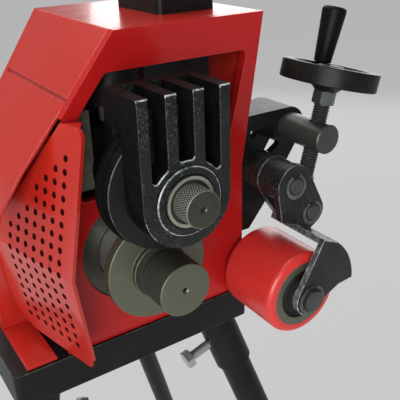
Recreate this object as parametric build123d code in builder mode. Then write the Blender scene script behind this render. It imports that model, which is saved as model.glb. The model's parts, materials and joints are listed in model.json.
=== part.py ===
from build123d import *
import os
from math import acos, atan, cos, degrees, hypot, pi, radians, sin, sqrt, tan

# A pipe roll groover on four splayed legs, in millimetres. Z is up, X runs to the operator's right and
# Y runs back. The origin is on the floor, midway between the feet. Places on the machine are written
# from the spindle: x across from its axis, y back from the pipe stop, z up from its axis.

# Stand
spindle_height = 820.0
base_wide = 250.0
base_deep = 380.0
base_tall = 35.0
base_sheet = 6.0
base_wall = 4.0
base_drop = 85.6
base_corner = 6.0
leg_dia = 33.7
leg_wall = 3.0
leg_inset = 28.0
leg_splay_x = 0.30
leg_splay_y = 0.20
socket_wall = 3.0
socket_drop = 70.0
leg_slack = 0.2
foot_wall = 9.0
foot_tall = 50.0
foot_floor = 14.0
clamp_dia = 10.0
clamp_drop = 35.0
clamp_reach = 26.0
clamp_head = 8.0

# Red head
stop_reach = 43.0
plate = 8.0
plate_lip = 3.0
right_x = 120.5
left_x = -112.0
bend_z = 50.8
lean = 0.2003
roof_z = 196.0
joint_x = -50.5
joint_z = 147.8
joint_gap = 2.4
joint_lap = 12.0
slope = 0.70
crease_x = -89.3
crease_rise = 2.0
cover_sheet = 3.0
cheek = 8.0
left_cheek_x = -66.0
back_y = 170.0
back_sheet = 6.0
wall_front_y = 112.0
cover_foot = 28.0
window_left = -46.0
window_right = 98.6
window_top = 165.2
window_sill = 6.0
window_flare = 0.091
window_corner = 6.0
seam = 0.3

# Perforated guard
guard_yaw = 13.3
guard_tilt_up = 12.4
guard_tilt_down = 6.9
guard_front_x = -78.9
guard_front_y = -6.9
guard_bend_z = 17.8
guard_rise = 115.2
guard_drop = 91.0
guard_top_long = 27.5
guard_long = 117.0
guard_toe_rise = 6.0
guard_sheet = 3.0
guard_corner = 35.0
guard_nose = 10.0
guard_gap = 2.0
guard_return = 14.0
hole_dia = 5.5
hole_pitch = 11.8
hole_row = 10.35
hole_inset = 17.5
hole_columns = 7
hole_rows = 10
hole_margin = 9.0
spacer_dia = 14.0
spacer_y = 72.0
spacer_low_z = -55.0
spacer_mid_z = -12.0
spacer_high_z = 32.0

# Drive roll and spindle
roll_land_r = 23.0
roll_land_long = 28.9
groove_r = 19.0
groove_wide = 9.0
stop_land_r = 25.3
stop_land_wide = 5.0
flange_r = 46.4
flange_wide = 10.0
shank_r = 16.0
shank_long = 60.0
centre_drill_r = 3.0
roll_chamfer = 1.0
collar_r = 34.0
journal_r = 27.5
bolt_r = 6.0
bolt_grip = 30.0
bolt_head_r = 11.0
bolt_head = 8.0
fit = 0.03
running = 0.05

# Spindle bearings
cup_r = 45.0
cup_wall = 5.0
cone_wall = 5.0
bearing_wide = 23.0
bearing_lip = 4.0
roller_count = 14
housing_wall = 4.8
plate_slack = 0.2
housing_flange = 7.7
housing_flange_wide = 8.0
cap_wide = 4.0
cap_recess = 2.0
cap_gap = 1.0

# Gear train
gear_module = 2.5
gear_teeth = 42
pinion_teeth = 14
gear_wide = 20.0
gear_y = 112.0
gear_backlash = 0.12
gear_angle = 38.0
pressure_angle = 20.0
pinion_shaft_r = 13.0
gear_gap = 2.0

# Gearmotor
reducer_wide = 92.0
reducer_deep = 60.0
motor_r = 50.0
motor_long = 120.0
fin_tall = 6.0
fin_thick = 3.0
fin_count = 28
fan_long = 42.0
fan_wall = 2.0
terminal_wide = 70.0
terminal_long = 64.0
terminal_tall = 36.0
gland_r = 9.0
gland_long = 22.0
gland_bore = 5.0

# Upper roll and carriage
roll_axis_z = 82.0
upper_r = 50.3
upper_ridge_r = 52.2
upper_front_y = -24.5
upper_rear_y = -1.0
ridge_side_gap = 0.5
hub_r = 20.0
upper_bore_r = 17.0
knob_r = 14.3
knob_end_y = -72.2
bush_wall = 4.2
bush_stand = 3.0
carriage_front_y = -53.0
carriage_half = 37.5
carriage_top_z = 162.0
bridge_rear_y = -3.0
cheek_gap = 2.0
slot_rear_gap = 1.5
slot_head = 2.3
rib_wide = 9.5
rib_pitch = 22.0
rib_edge = 1.2
pocket_deep = 19.5
pocket_r = 31.0
pocket_corner = 2.5
trough_z = 148.0
trough_rear_y = -11.0
boss_r = 27.0
boss_stand = 2.0
rear_boss_r = 34.0
rear_boss_long = 26.5
slide_half = 34.0
neck_half = 26.0
neck_shoulder_y = 16.0
neck_shoulder_z = 150.0
slide_low_z = 70.0
slide_top_z = 118.0
lift_down = 6.0
lift_up = 12.0

# Guide rails, bulkhead and hydraulic cylinder
bulkhead = 12.0
bulkhead_y = 84.0
rail_wide = 12.0
rail_deep = 32.0
rail_lip = 8.0
rail_low_z = 62.0
rail_gap = 0.15
slide_gap = 0.15
spindle_gap = 5.0
cylinder_r = 25.0
cylinder_wall = 7.0
cylinder_y = 57.0
cylinder_gap = 4.0
ram_r = 14.0
ram_seat = 10.0
piston_tall = 10.0
crosshead = 12.0
crosshead_z = 174.0

# Pump on the roof
pump_x = 72.0
pump_y = 92.0
pump_wide = 56.0
pump_deep = 76.0
pump_tall = 46.0
pump_corner = 5.0
plunger_r = 8.0
plunger_rise = 16.0
plunger_deep = 24.0
lever_pitch = 30.0
lever_pivot_z = 30.0
lever_bar = 16.0
lever_bar_long = 70.0
lever_side_gap = 0.5
lever_rod_r = 7.0
ear_r = 12.0
lever_gap = 1.5
plunger_tip_r = 3.0
plunger_tip = 6.0
lever_long = 210.0
lever_grip_r = 13.0
lever_grip_long = 100.0
lever_pin_r = 5.0
ear_thick = 8.0
knob_stem_r = 5.0
knob_stem_long = 12.0
release_r = 13.0
release_long = 20.0

# Control box
box_deep = 42.0
box_wide = 60.0
box_tall = 90.0
box_y = 132.0
box_z = 125.0
box_wall = 3.0
button_r = 11.0
button_stem_r = 8.0
button_tall = 9.0
stop_button_r = 16.0
stop_button_tall = 14.0
button_pitch = 44.0
button_gap = 0.3
button_travel = 4.0

# Stabilizer on the right cheek
bracket_y = 45.0
bracket_deep = 44.0
bracket_sheet = 8.0
bracket_low_z = -22.0
bracket_tip_x = 131.0
bracket_knee_x = 152.0
bracket_knee_z = 3.0
bracket_web = 8.0
pivot_x = 140.6
pivot_z = 41.8
pivot_pin_r = 9.0
lug_r = 20.0
eye_x = 162.4
eye_z = 9.6
eye_pin_r = 9.0
eye_slack = 0.85
eye_r = 14.0
eye_lobe_r = 15.5
eye_wide = 20.0
eye_collar_r = 9.0
eye_collar_long = 30.0
barrel_x = 180.0
barrel_z = 77.4
barrel_r = 14.0
barrel_nose = 18.0
barrel_tail = 3.0
barrel_wall = 5.0
screw_y = 8.0
screw_r = 8.0
screw_slack = 0.1
screw_pitch = 2.5
thread_deep = 1.4
screw_tip_r = 5.0
screw_tip_long = 12.0
screw_spigot_r = 6.0
screw_nut_z = 100.0
screw_nut_long = 12.0
screw_nut_wide = 19.0
wheel_z = 118.5
wheel_r = 45.0
wheel_thick = 17.0
wheel_boss_r = 17.0
wheel_foot_r = 10.5
wheel_edge = 1.2
wheel_rim = 9.0
wheel_recess = 4.0
grip_at = 33.0
grip_turn = 60.0
grip_r = 8.3
grip_top_r = 12.0
grip_long = 52.0
grip_pin_r = 3.5
arm_plate = 8.0
arm_side_gap = 1.0
arm_hub_r = 14.0
arm_hub_flat = 12.5
arm_tube_r = 19.0
arm_foot_x = 126.0
arm_foot_z = 8.0
arm_toe_x = 163.0
arm_toe_z = -8.0
pin_head = 3.0
clip_thick = 1.6
clip_ring = 3.2
yoke_strip = 6.0
yoke_front_y = -47.0
yoke_side_gap = 5.0
yoke_root = 22.0
yoke_brow_x = 180.5
yoke_brow_z = -30.0
yoke_tail_x = 186.0
yoke_tail_z = -54.0
yoke_heel_x = 168.0
yoke_heel_z = -55.5
roller_x = 133.0
roller_z = -58.5
roller_pin_r = 12.0
roller_boss_r = 17.0
tyre_r = 42.0
tyre_long = 71.0
tyre_edge = 6.0
core_r = 33.0
core_rim = 5.0
core_recess = 5.0
roller_pin_nose = 6.0
roller_pin_tail = 2.5

# Frame bolts
frame_bolt_r = 4.0
frame_bolt_head_r = 7.0
frame_bolt_head = 5.5
frame_bolt_grip = 18.0
bolt_slack = 0.2

# Places worked out from the sizes above
base_top = spindle_height - base_drop
base_bottom = base_top - base_tall
stop_y = -base_deep / 2 + plate_lip - stop_reach
lean_angle = atan(lean)
plate_back = plate / cos(lean_angle)
cover_flat = cover_sheet * hypot(1, slope)
cover_down = cover_flat / slope
roof_under = roof_z - cover_sheet
left_cheek_in = left_cheek_x + cheek
right_cheek_in = right_x - cheek
back_face = back_y + back_sheet
rail_front_y = bulkhead_y - rail_deep
rail_in = slide_half + rail_gap
rail_top_z = slide_top_z + lift_up + slide_gap
bracket_bolt_y = bracket_y + bracket_deep / 2
guard_bolts = [(spacer_y, z) for z in (spacer_low_z, spacer_mid_z, spacer_high_z)]
rail_bolts = [
    (x, z)
    for x in (-rail_in - rail_wide / 2, rail_in + rail_wide / 2)
    for z in (rail_low_z + rail_wide, rail_top_z - rail_wide)
]
bracket_bolts = [bracket_low_z + 3 * frame_bolt_head_r, barrel_z]


def facing(y):
    # Upright plane y behind the pipe stop, seen from the front: local x across, local y up
    return Plane(origin=(0, stop_y + y, spindle_height), x_dir=(1, 0, 0), z_dir=(0, -1, 0))


def level(z):
    # Flat plane z above the spindle: local x across, local y back from the pipe stop
    return Plane(origin=(0, stop_y, spindle_height + z), x_dir=(1, 0, 0), z_dir=(0, 0, 1))


def side(x, z=0.0):
    # Upright plane x across, seen from the right: local x back from the pipe stop, local y up from z
    return Plane(origin=(x, stop_y, spindle_height + z), x_dir=(0, 1, 0), z_dir=(1, 0, 0))


def outline(points, plane):
    with BuildSketch(plane) as sheet:
        with BuildLine():
            Polyline(*points, close=True)
        make_face()
    return sheet.sketch


def disc(plane, radius, x=0.0, y=0.0):
    with BuildSketch(plane) as sheet:
        with Locations((x, y)):
            Circle(radius)
    return sheet.sketch


def block(plane, x0, y0, x1, y1):
    return outline([(x0, y0), (x1, y0), (x1, y1), (x0, y1)], plane)


def axle(x, z):
    # Line parallel to the spindle at x across and z up
    return Axis((x, stop_y, spindle_height + z), (0, 1, 0))


def turned(points, x=0.0, z=0.0):
    # Profile of (y, radius) points turned about a line parallel to the spindle
    return revolve(outline(points, side(x, z)), axis=axle(x, z), mode=Mode.PRIVATE)


def tube(y0, y1, outer, inner, x=0.0, z=0.0):
    return turned([(y0, inner), (y1, inner), (y1, outer), (y0, outer)], x, z)


def spun(points, start):
    # Profile of (radius, height) points turned about the normal of plane start
    section = Plane(origin=start.origin, x_dir=start.x_dir, z_dir=-start.y_dir)
    return revolve(outline(points, section), axis=Axis(start.origin, start.z_dir), mode=Mode.PRIVATE)


def hull(plane, rounds, points):
    # Outline stretched round circles (x, y, radius) and points
    with BuildSketch(plane) as sheet:
        with BuildLine():
            for x, y, radius in rounds:
                CenterArc((x, y), radius, 0, 360)
            Polyline(*points)
        make_hull()
    return sheet.sketch


def folded(points, thick):
    # Outline of a sheet bent along points, its thickness to the left of the way they run
    normals = []
    for (x0, z0), (x1, z1) in zip(points, points[1:]):
        run = hypot(x1 - x0, z1 - z0)
        normals.append(((z0 - z1) / run, (x1 - x0) / run))
    inner = []
    for i, (x, z) in enumerate(points):
        a = normals[max(i - 1, 0)]
        b = normals[min(i, len(normals) - 1)]
        scale = thick / (1 + a[0] * b[0] + a[1] * b[1])
        inner.append((x + (a[0] + b[0]) * scale, z + (a[1] + b[1]) * scale))
    return points + inner[::-1]


def front_face(z):
    # Depth of the head's front face at height z: upright, then leaning forward above the bend
    return stop_reach - lean * max(0.0, z - bend_z)


def slope_x(z):
    return joint_x + slope * (z - joint_z)


def slope_z(x):
    return joint_z + (x - joint_x) / slope


def guard_x(y, z):
    # Outer face of the guard at depth y and height z
    rise = z - guard_bend_z
    tilt = guard_tilt_up if rise > 0 else guard_tilt_down
    inward = abs(rise) * tan(radians(tilt))
    yaw = radians(guard_yaw)
    run = (y - guard_front_y - inward * sin(yaw)) / cos(yaw)
    return guard_front_x - run * sin(yaw) + inward * cos(yaw)


def rims(piece, radius):
    # Round edges of one radius
    return piece.edges().filter_by(GeomType.CIRCLE).filter_by(lambda edge: abs(edge.radius - radius) < fit)


def finish(part, name):
    part.label = name
    export_step(part, f"parts/{name}.step")


os.makedirs("parts", exist_ok=True)

# Base tray with an open underside
with BuildPart() as base_tray:
    with BuildSketch(Plane.XY.offset(base_top)):
        RectangleRounded(base_wide, base_deep, base_corner)
    extrude(amount=-base_tall)
    with BuildSketch(Plane.XY.offset(base_bottom)):
        Rectangle(base_wide - 2 * base_wall, base_deep - 2 * base_wall)
    extrude(amount=base_tall - base_sheet, mode=Mode.SUBTRACT)
finish(base_tray.part, "base_tray")

# Legs: tubes clamped in sockets under the tray, each in a rubber foot cut flat on the floor
leg_turns = [(1, -1), (1, 1), (-1, 1), (-1, -1)]
leg_long = base_bottom * sqrt(1 + leg_splay_x**2 + leg_splay_y**2)
socket_r = leg_dia / 2 + leg_slack + socket_wall


def leg_plane(turn_x, turn_y, along):
    # Plane square to a leg, along its axis from the floor
    rise = Vector(-turn_x * leg_splay_x, -turn_y * leg_splay_y, 1).normalized()
    x = turn_x * (base_wide / 2 - leg_inset + leg_splay_x * base_bottom)
    y = turn_y * (base_deep / 2 - leg_inset + leg_splay_y * base_bottom)
    return Plane(origin=Vector(x, y, 0) + rise * along, z_dir=rise)


def clamp_plane(turn_x, turn_y):
    # Plane square to a clamp screw, on the leg's axis, looking towards the middle of the machine
    across = leg_plane(turn_x, turn_y, leg_long - clamp_drop)
    inward = across.z_dir.cross(Vector(0, turn_x, 0)).normalized()
    return Plane(origin=across.origin, z_dir=inward)


with BuildPart() as leg_sockets:
    for turn in leg_turns:
        start = leg_plane(*turn, leg_long - socket_drop)
        extrude(disc(start, socket_r), amount=socket_drop + 2 * base_tall)
    split(bisect_by=Plane.XY.offset(base_top - base_sheet), keep=Keep.BOTTOM)
    for turn in leg_turns:
        start = leg_plane(*turn, leg_long - socket_drop)
        extrude(disc(start, socket_r - socket_wall), amount=socket_drop + 2 * base_tall, mode=Mode.SUBTRACT)
    for turn in leg_turns:
        extrude(disc(clamp_plane(*turn), clamp_dia / 2 + leg_slack), amount=2 * socket_r, mode=Mode.SUBTRACT)
finish(leg_sockets.part, "leg_sockets")

with BuildPart() as legs:
    for turn in leg_turns:
        start = leg_plane(*turn, foot_floor)
        extrude(disc(start, leg_dia / 2), amount=leg_long - foot_floor)
    for turn in leg_turns:
        start = leg_plane(*turn, foot_floor)
        extrude(disc(start, leg_dia / 2 - leg_wall), amount=leg_long - foot_floor, mode=Mode.SUBTRACT)
finish(legs.part, "legs")

with BuildPart() as feet:
    for turn in leg_turns:
        extrude(disc(leg_plane(*turn, -foot_tall), leg_dia / 2 + foot_wall), amount=2 * foot_tall)
    split(bisect_by=Plane.XY, keep=Keep.TOP)
    for turn in leg_turns:
        start = leg_plane(*turn, foot_floor)
        extrude(disc(start, leg_dia / 2 + leg_slack), amount=foot_tall, mode=Mode.SUBTRACT)
finish(feet.part, "feet")

with BuildPart() as leg_clamp_screws:
    for turn in leg_turns:
        seat = clamp_plane(*turn)
        extrude(disc(seat.offset(leg_dia / 2 + leg_slack), clamp_dia / 2), amount=clamp_reach)
        with BuildSketch(seat.offset(leg_dia / 2 + leg_slack + clamp_reach)) as clamp_hex:
            RegularPolygon(clamp_dia, 6)
        extrude(clamp_hex.sketch, amount=clamp_head)
finish(leg_clamp_screws.part, "leg_clamp_screws")

# Front plate: a strip bent forward, cut to the head's outline, with a window and the spindle's hole
plate_hole_r = cup_r + housing_wall + plate_slack


def beside_guard(z):
    return guard_x(front_face(z), z) + guard_sheet + guard_gap


guard_top = guard_bend_z + guard_rise
plate_left = [(beside_guard(z), z) for z in (-base_drop, guard_bend_z, bend_z, guard_top)]
plate_shoulder = guard_top + guard_gap
with BuildPart() as front_plate:
    bent = folded([(stop_reach, -base_drop), (stop_reach, bend_z), (front_face(roof_z), roof_z)], -plate)
    extrude(outline(bent, side(left_x)), amount=right_x - left_x)
    shape = plate_left + [(slope_x(plate_shoulder), plate_shoulder), (slope_x(roof_z), roof_z)]
    shape += [(right_x, roof_z), (right_x, -base_drop)]
    extrude(outline(shape, facing(0)), amount=-back_y, both=True, mode=Mode.INTERSECT)
    extrude(disc(facing(0), plate_hole_r), amount=-back_y, mode=Mode.SUBTRACT)
    sill_z = bend_z + window_sill
    right_top = window_right + window_flare * (window_top - sill_z)
    strip = window_left - slope_x(guard_top)
    lower_left = guard_top + window_sill / 2
    with BuildSketch(facing(0)) as window:
        with BuildLine():
            Polyline(
                (window_left, sill_z),
                (window_right, sill_z),
                (right_top, window_top),
                (slope_x(window_top) + strip, window_top),
                (slope_x(lower_left) + strip, lower_left),
                (window_left, guard_top - window_sill / 2),
                close=True,
            )
        make_face()
        fillet(window.vertices(), window_corner)
    extrude(window.sketch, amount=-back_y, both=True, mode=Mode.SUBTRACT)
finish(front_plate.part, "front_plate")

# Room between the front plate's back and the back plate, seen from the side
inside = [
    (stop_reach + plate, -base_drop),
    (stop_reach + plate, bend_z + plate * tan(lean_angle / 2)),
    (front_face(roof_z) + plate_back, roof_z),
    (back_y, roof_z),
    (back_y, -base_drop),
]
inside_low = [(y, min(z, roof_under)) for y, z in inside]
inside_low[2] = (front_face(roof_under) + plate_back, roof_under)

with BuildPart() as right_cheek:
    extrude(outline(inside_low, side(right_cheek_in)), amount=cheek)
    for z in bracket_bolts:
        drill = disc(side(right_cheek_in), frame_bolt_r + bolt_slack, bracket_bolt_y, z)
        extrude(drill, amount=cheek, mode=Mode.SUBTRACT)
finish(right_cheek.part, "right_cheek")

left_top = slope_z(left_cheek_x) - cover_down - seam
with BuildPart() as left_cheek:
    extrude(outline(inside_low, side(left_cheek_x)), amount=cheek)
    extrude(block(level(left_top), left_cheek_x, 0, left_cheek_in, back_y), amount=roof_z, mode=Mode.SUBTRACT)
    # Room for the guard beside the front edge
    guard_clear = [(stop_reach, -base_drop), (spacer_y - spacer_dia, -base_drop)]
    guard_clear += [(spacer_y - spacer_dia, roof_z), (stop_reach - plate_back, roof_z)]
    extrude(outline(guard_clear, side(left_cheek_x)), amount=cheek, mode=Mode.SUBTRACT)
    for y, z in guard_bolts:
        drill = disc(side(left_cheek_x), frame_bolt_r + bolt_slack, y, z)
        extrude(drill, amount=cheek, mode=Mode.SUBTRACT)
finish(left_cheek.part, "left_cheek")

# Inner outline of the housing above the base, under the sloped cover
under_cover = [
    (left_cheek_in, -base_drop),
    (right_cheek_in, -base_drop),
    (right_cheek_in, roof_under),
    (slope_x(roof_under) + cover_flat + seam, roof_under),
    (left_cheek_in, slope_z(left_cheek_in) - cover_down - seam),
]
# Line of the head cover's tongue, inside the joint of the two covers
lap = [(slope_x(z) + cover_flat, z) for z in (joint_z + joint_lap, joint_z - joint_lap)]
spindle_hole_r = journal_r + spindle_gap
with BuildPart() as bulkhead_plate:
    extrude(outline(under_cover, facing(bulkhead_y)), amount=-bulkhead)
    notch = outline(folded(lap, cover_sheet + seam), facing(bulkhead_y))
    extrude(notch, amount=-bulkhead, mode=Mode.SUBTRACT)
    extrude(disc(facing(bulkhead_y), spindle_hole_r), amount=-bulkhead, mode=Mode.SUBTRACT)
    for x, z in rail_bolts:
        drill = disc(facing(bulkhead_y), frame_bolt_r + bolt_slack, x, z)
        extrude(drill, amount=-bulkhead, mode=Mode.SUBTRACT)
finish(bulkhead_plate.part, "bulkhead")

# Back plate with the rear bearing's seat
seat_r = cup_r + fit
lip_r = cup_r - cup_wall + cap_gap
pinion_x = gear_module * (gear_teeth + pinion_teeth) / 2 * cos(radians(gear_angle))
pinion_z = gear_module * (gear_teeth + pinion_teeth) / 2 * sin(radians(gear_angle))
with BuildPart() as back_plate:
    whole = [(left_x, -base_drop), (right_x, -base_drop), (right_x, roof_z), (slope_x(roof_z), roof_z)]
    whole.append((left_x, slope_z(left_x)))
    extrude(outline(whole, facing(back_y)), amount=-back_sheet)
    add(tube(back_y - bearing_wide - bearing_lip, back_y, cup_r + housing_wall, seat_r))
    extrude(disc(facing(0), lip_r), amount=-back_face, mode=Mode.SUBTRACT)
    passage = disc(facing(0), pinion_shaft_r + gear_gap, pinion_x, pinion_z)
    extrude(passage, amount=-back_face, mode=Mode.SUBTRACT)
finish(back_plate.part, "back_plate")

# Head cover: roof and upper slope in one folded sheet. Left cover: lower slope, side wall and front wall
with BuildPart() as head_cover:
    bent = folded([(right_x, roof_z), (slope_x(roof_z), roof_z), (joint_x, joint_z)], cover_sheet)
    extrude(outline(bent, facing(0)), amount=-back_y)
    extrude(outline(folded(lap, cover_sheet), facing(0)), amount=-back_y)
    extrude(outline(inside, side(left_x)), amount=right_x - left_x, mode=Mode.INTERSECT)
finish(head_cover.part, "head_cover")

with BuildPart() as left_cover:
    start_z = joint_z - joint_gap
    crease = (crease_x - crease_rise * slope, slope_z(crease_x) + crease_rise)
    bent = [(slope_x(start_z), start_z), crease, (left_x, slope_z(left_x)), (left_x, -base_drop)]
    extrude(outline(folded(bent, cover_sheet), facing(0)), amount=-back_y)
    extrude(outline(inside, side(left_x - cover_sheet)), amount=right_x - left_x, mode=Mode.INTERSECT)
    wall_top = slope_z(left_x) - base_sheet
    gap = block(side(left_x - cover_sheet), 0, -base_drop, wall_front_y, wall_top)
    extrude(gap, amount=3 * cover_sheet, mode=Mode.SUBTRACT)
    # Wall behind the guard, from the side wall to the left cheek, and a foot in front of it on the tray
    wall_in = left_cheek_x - seam
    wall_fall = (start_z - crease[1]) / (slope_x(start_z) - crease[0])
    wall = [(left_x, -base_drop), (left_x, slope_z(left_x)), crease]
    wall += [(wall_in, crease[1] + wall_fall * (wall_in - crease[0])), (wall_in, -base_drop)]
    extrude(outline(wall, facing(wall_front_y)), amount=-cover_sheet)
    foot = block(level(-base_drop), left_x, stop_reach, left_x + cover_foot, wall_front_y + cover_sheet)
    extrude(foot, amount=cover_sheet)
finish(left_cover.part, "left_cover")

# Perforated guard: a sheet bent along a level line, its back edge slanted, with square rows of holes
yaw = radians(guard_yaw)
back_way = Vector(-sin(yaw), cos(yaw), 0)
out_way = Vector(-cos(yaw), -sin(yaw), 0)
guard_origin = Vector(guard_front_x, stop_y + guard_front_y, spindle_height + guard_bend_z)
guard_section = Plane(origin=guard_origin, x_dir=out_way, z_dir=back_way)
guard_side = Plane(origin=guard_origin, x_dir=back_way, z_dir=-out_way)
edge_slope = (guard_rise - guard_toe_rise) / (guard_long - guard_top_long)


def guard_panel(tilt, way):
    # Plane of one panel: local x back along the bend, local y away from the bend, up or down
    lean_in = radians(tilt)
    away = Vector(0, 0, way) * cos(lean_in) - out_way * sin(lean_in)
    return Plane(origin=guard_origin, x_dir=back_way, z_dir=back_way.cross(away))


up_tan = tan(radians(guard_tilt_up))
down_tan = tan(radians(guard_tilt_down))
hole_up = []
hole_down = []
for column in range(hole_columns):
    along = hole_inset + column * hole_pitch
    reach = guard_rise - edge_slope * max(0.0, along - guard_top_long + hole_margin) - hole_margin
    for row in range(min(hole_rows, int(reach / hole_row) + 1)):
        hole_up.append((along, row * hole_row))
    for row in range(int((guard_drop - hole_margin) / hole_row)):
        hole_down.append((along, (row + 1) * hole_row))

with BuildPart() as guard:
    top = (-guard_rise * up_tan, guard_rise)
    low = (-guard_drop * down_tan, -guard_drop)
    extrude(outline(folded([low, (0, 0), top], guard_sheet), guard_section), amount=guard_long)
    with BuildSketch(guard_side) as guard_shape:
        with BuildLine():
            FilletPolyline(
                (0, -guard_drop),
                (0, guard_rise),
                (guard_top_long, guard_rise),
                (guard_long, guard_toe_rise),
                (guard_long, -guard_drop),
                close=True,
                radius=[guard_nose, guard_nose, guard_sheet, guard_sheet, guard_corner],
            )
        make_face()
    extrude(guard_shape.sketch, amount=guard_long, both=True, mode=Mode.INTERSECT)
    # Small three-cornered return along the top edge
    return_z = guard_top - guard_sheet
    return_y = front_face(guard_top) - guard_sheet
    web = [(guard_x(y, return_z) + guard_sheet / 2, y) for y in (guard_front_y + guard_nose, return_y)]
    web.append((guard_x(return_y, return_z) + guard_return, return_y - guard_return / 2))
    extrude(outline(web, level(return_z)), amount=guard_sheet)
    upper_panel = guard_panel(guard_tilt_up, 1)
    lower_panel = guard_panel(guard_tilt_down, -1)
    for panel, spots in ((upper_panel, hole_up), (lower_panel, hole_down)):
        with BuildSketch(panel) as holes:
            with Locations(*spots):
                Circle(hole_dia / 2)
        extrude(holes.sketch, amount=2 * guard_sheet, both=True, mode=Mode.SUBTRACT)
finish(guard.part, "guard")

# Spacers that carry the guard on the left cheek, cut off at the guard's inner face
with BuildPart() as guard_spacers:
    for y, z in guard_bolts:
        extrude(disc(side(left_cheek_x), spacer_dia / 2, y, z), amount=-guard_long)
    inner_face = folded([low, (0, 0), top], guard_sheet)[3:]
    beyond = inner_face + [(guard_long, -guard_drop), (guard_long, guard_rise)]
    extrude(outline(beyond, guard_section), amount=2 * guard_long, mode=Mode.SUBTRACT)
    for y, z in guard_bolts:
        drill = disc(side(left_cheek_x), frame_bolt_r + bolt_slack, y, z)
        extrude(drill, amount=-frame_bolt_grip + cheek, mode=Mode.SUBTRACT)
finish(guard_spacers.part, "guard_spacers")

# Drive roll: knurled land, groove and pipe stop, with a shank drawn into the spindle
land_y = -stop_land_wide - groove_wide
roll_y = land_y - roll_land_long
shank_y = flange_wide + shank_long
with BuildPart() as drive_roll:
    profile = [
        (roll_y, 0),
        (roll_y, roll_land_r - roll_chamfer),
        (roll_y + roll_chamfer, roll_land_r),
        (land_y, roll_land_r),
        (land_y, groove_r),
        (-stop_land_wide, groove_r),
        (-stop_land_wide, stop_land_r),
        (0, stop_land_r),
        (0, flange_r - roll_chamfer),
        (roll_chamfer, flange_r),
        (flange_wide - roll_chamfer, flange_r),
        (flange_wide, flange_r - roll_chamfer),
        (flange_wide, shank_r),
        (shank_y, shank_r),
        (shank_y, 0),
    ]
    add(turned(profile))
    add(turned([(roll_y, 0), (roll_y, centre_drill_r), (roll_y + 2 * centre_drill_r, 0)]), mode=Mode.SUBTRACT)
    tapped = disc(facing(shank_y), bolt_r + fit)
    extrude(tapped, amount=bolt_grip, mode=Mode.SUBTRACT)
finish(drive_roll.part, "drive_roll")

# Spindle in two roller bearings
cap_y = stop_reach + cap_recess
housing_y = cap_y + cap_wide
front_bearing_y = housing_y + bearing_lip
rear_bearing_y = back_y - bearing_wide
spindle_end = back_y + back_sheet / 2
bolt_seat_y = spindle_end - bolt_head - cap_gap
with BuildPart() as spindle:
    profile = [
        (flange_wide, shank_r + fit),
        (flange_wide, collar_r),
        (front_bearing_y, collar_r),
        (front_bearing_y, journal_r - fit),
        (spindle_end, journal_r - fit),
        (spindle_end, bolt_head_r + cap_gap),
        (bolt_seat_y, bolt_head_r + cap_gap),
        (bolt_seat_y, bolt_r + bolt_slack),
        (shank_y + cap_gap, bolt_r + bolt_slack),
        (shank_y + cap_gap, shank_r + fit),
    ]
    add(turned(profile))
finish(spindle.part, "spindle")

with BuildPart() as draw_bolt:
    tip_y = shank_y - bolt_grip + cap_gap
    profile = [(tip_y, 0), (tip_y, bolt_r), (bolt_seat_y, bolt_r), (bolt_seat_y, 0)]
    add(turned(profile))
    with BuildSketch(facing(bolt_seat_y)) as hexagon:
        RegularPolygon(bolt_head_r, 6)
    extrude(hexagon.sketch, amount=-bolt_head)
finish(draw_bolt.part, "draw_bolt")

bearing_spots = (front_bearing_y, rear_bearing_y)
cone_r = journal_r + cone_wall
race_r = cup_r - cup_wall
with BuildPart() as bearing_cups:
    for y in bearing_spots:
        add(tube(y, y + bearing_wide, cup_r, race_r))
finish(bearing_cups.part, "bearing_cups")

with BuildPart() as bearing_cones:
    for y in bearing_spots:
        add(tube(y, y + bearing_wide, cone_r, journal_r))
finish(bearing_cones.part, "bearing_cones")

with BuildPart() as bearing_rollers:
    roller_r = (race_r - cone_r) / 2 - running
    for y in bearing_spots:
        with BuildSketch(facing(y + bearing_lip / 2)) as rollers:
            with PolarLocations((race_r + cone_r) / 2, roller_count):
                Circle(roller_r)
        extrude(rollers.sketch, amount=bearing_lip - bearing_wide)
finish(bearing_rollers.part, "bearing_rollers")

with BuildPart() as front_bearing_housing:
    body_r = cup_r + housing_wall
    flange_y = stop_reach + plate
    rear_y = front_bearing_y + bearing_wide
    profile = [
        (housing_y, seat_r),
        (housing_y, body_r),
        (flange_y, body_r),
        (flange_y, body_r + housing_flange),
        (flange_y + housing_flange_wide, body_r + housing_flange),
        (flange_y + housing_flange_wide, body_r),
        (rear_y + bearing_lip, body_r),
        (rear_y + bearing_lip, lip_r),
        (rear_y, lip_r),
        (rear_y, seat_r),
    ]
    add(turned(profile))
finish(front_bearing_housing.part, "front_bearing_housing")

with BuildPart() as bearing_cap:
    cap_r = collar_r + cap_gap
    spigot_r = race_r + cup_wall / 2
    profile = [
        (cap_y, cap_r),
        (cap_y, body_r - plate_slack),
        (housing_y, body_r - plate_slack),
        (housing_y, cup_r - plate_slack),
        (front_bearing_y, cup_r - plate_slack),
        (front_bearing_y, spigot_r),
        (housing_y, spigot_r),
        (housing_y, cap_r),
    ]
    add(turned(profile))
finish(bearing_cap.part, "bearing_cap")


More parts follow.
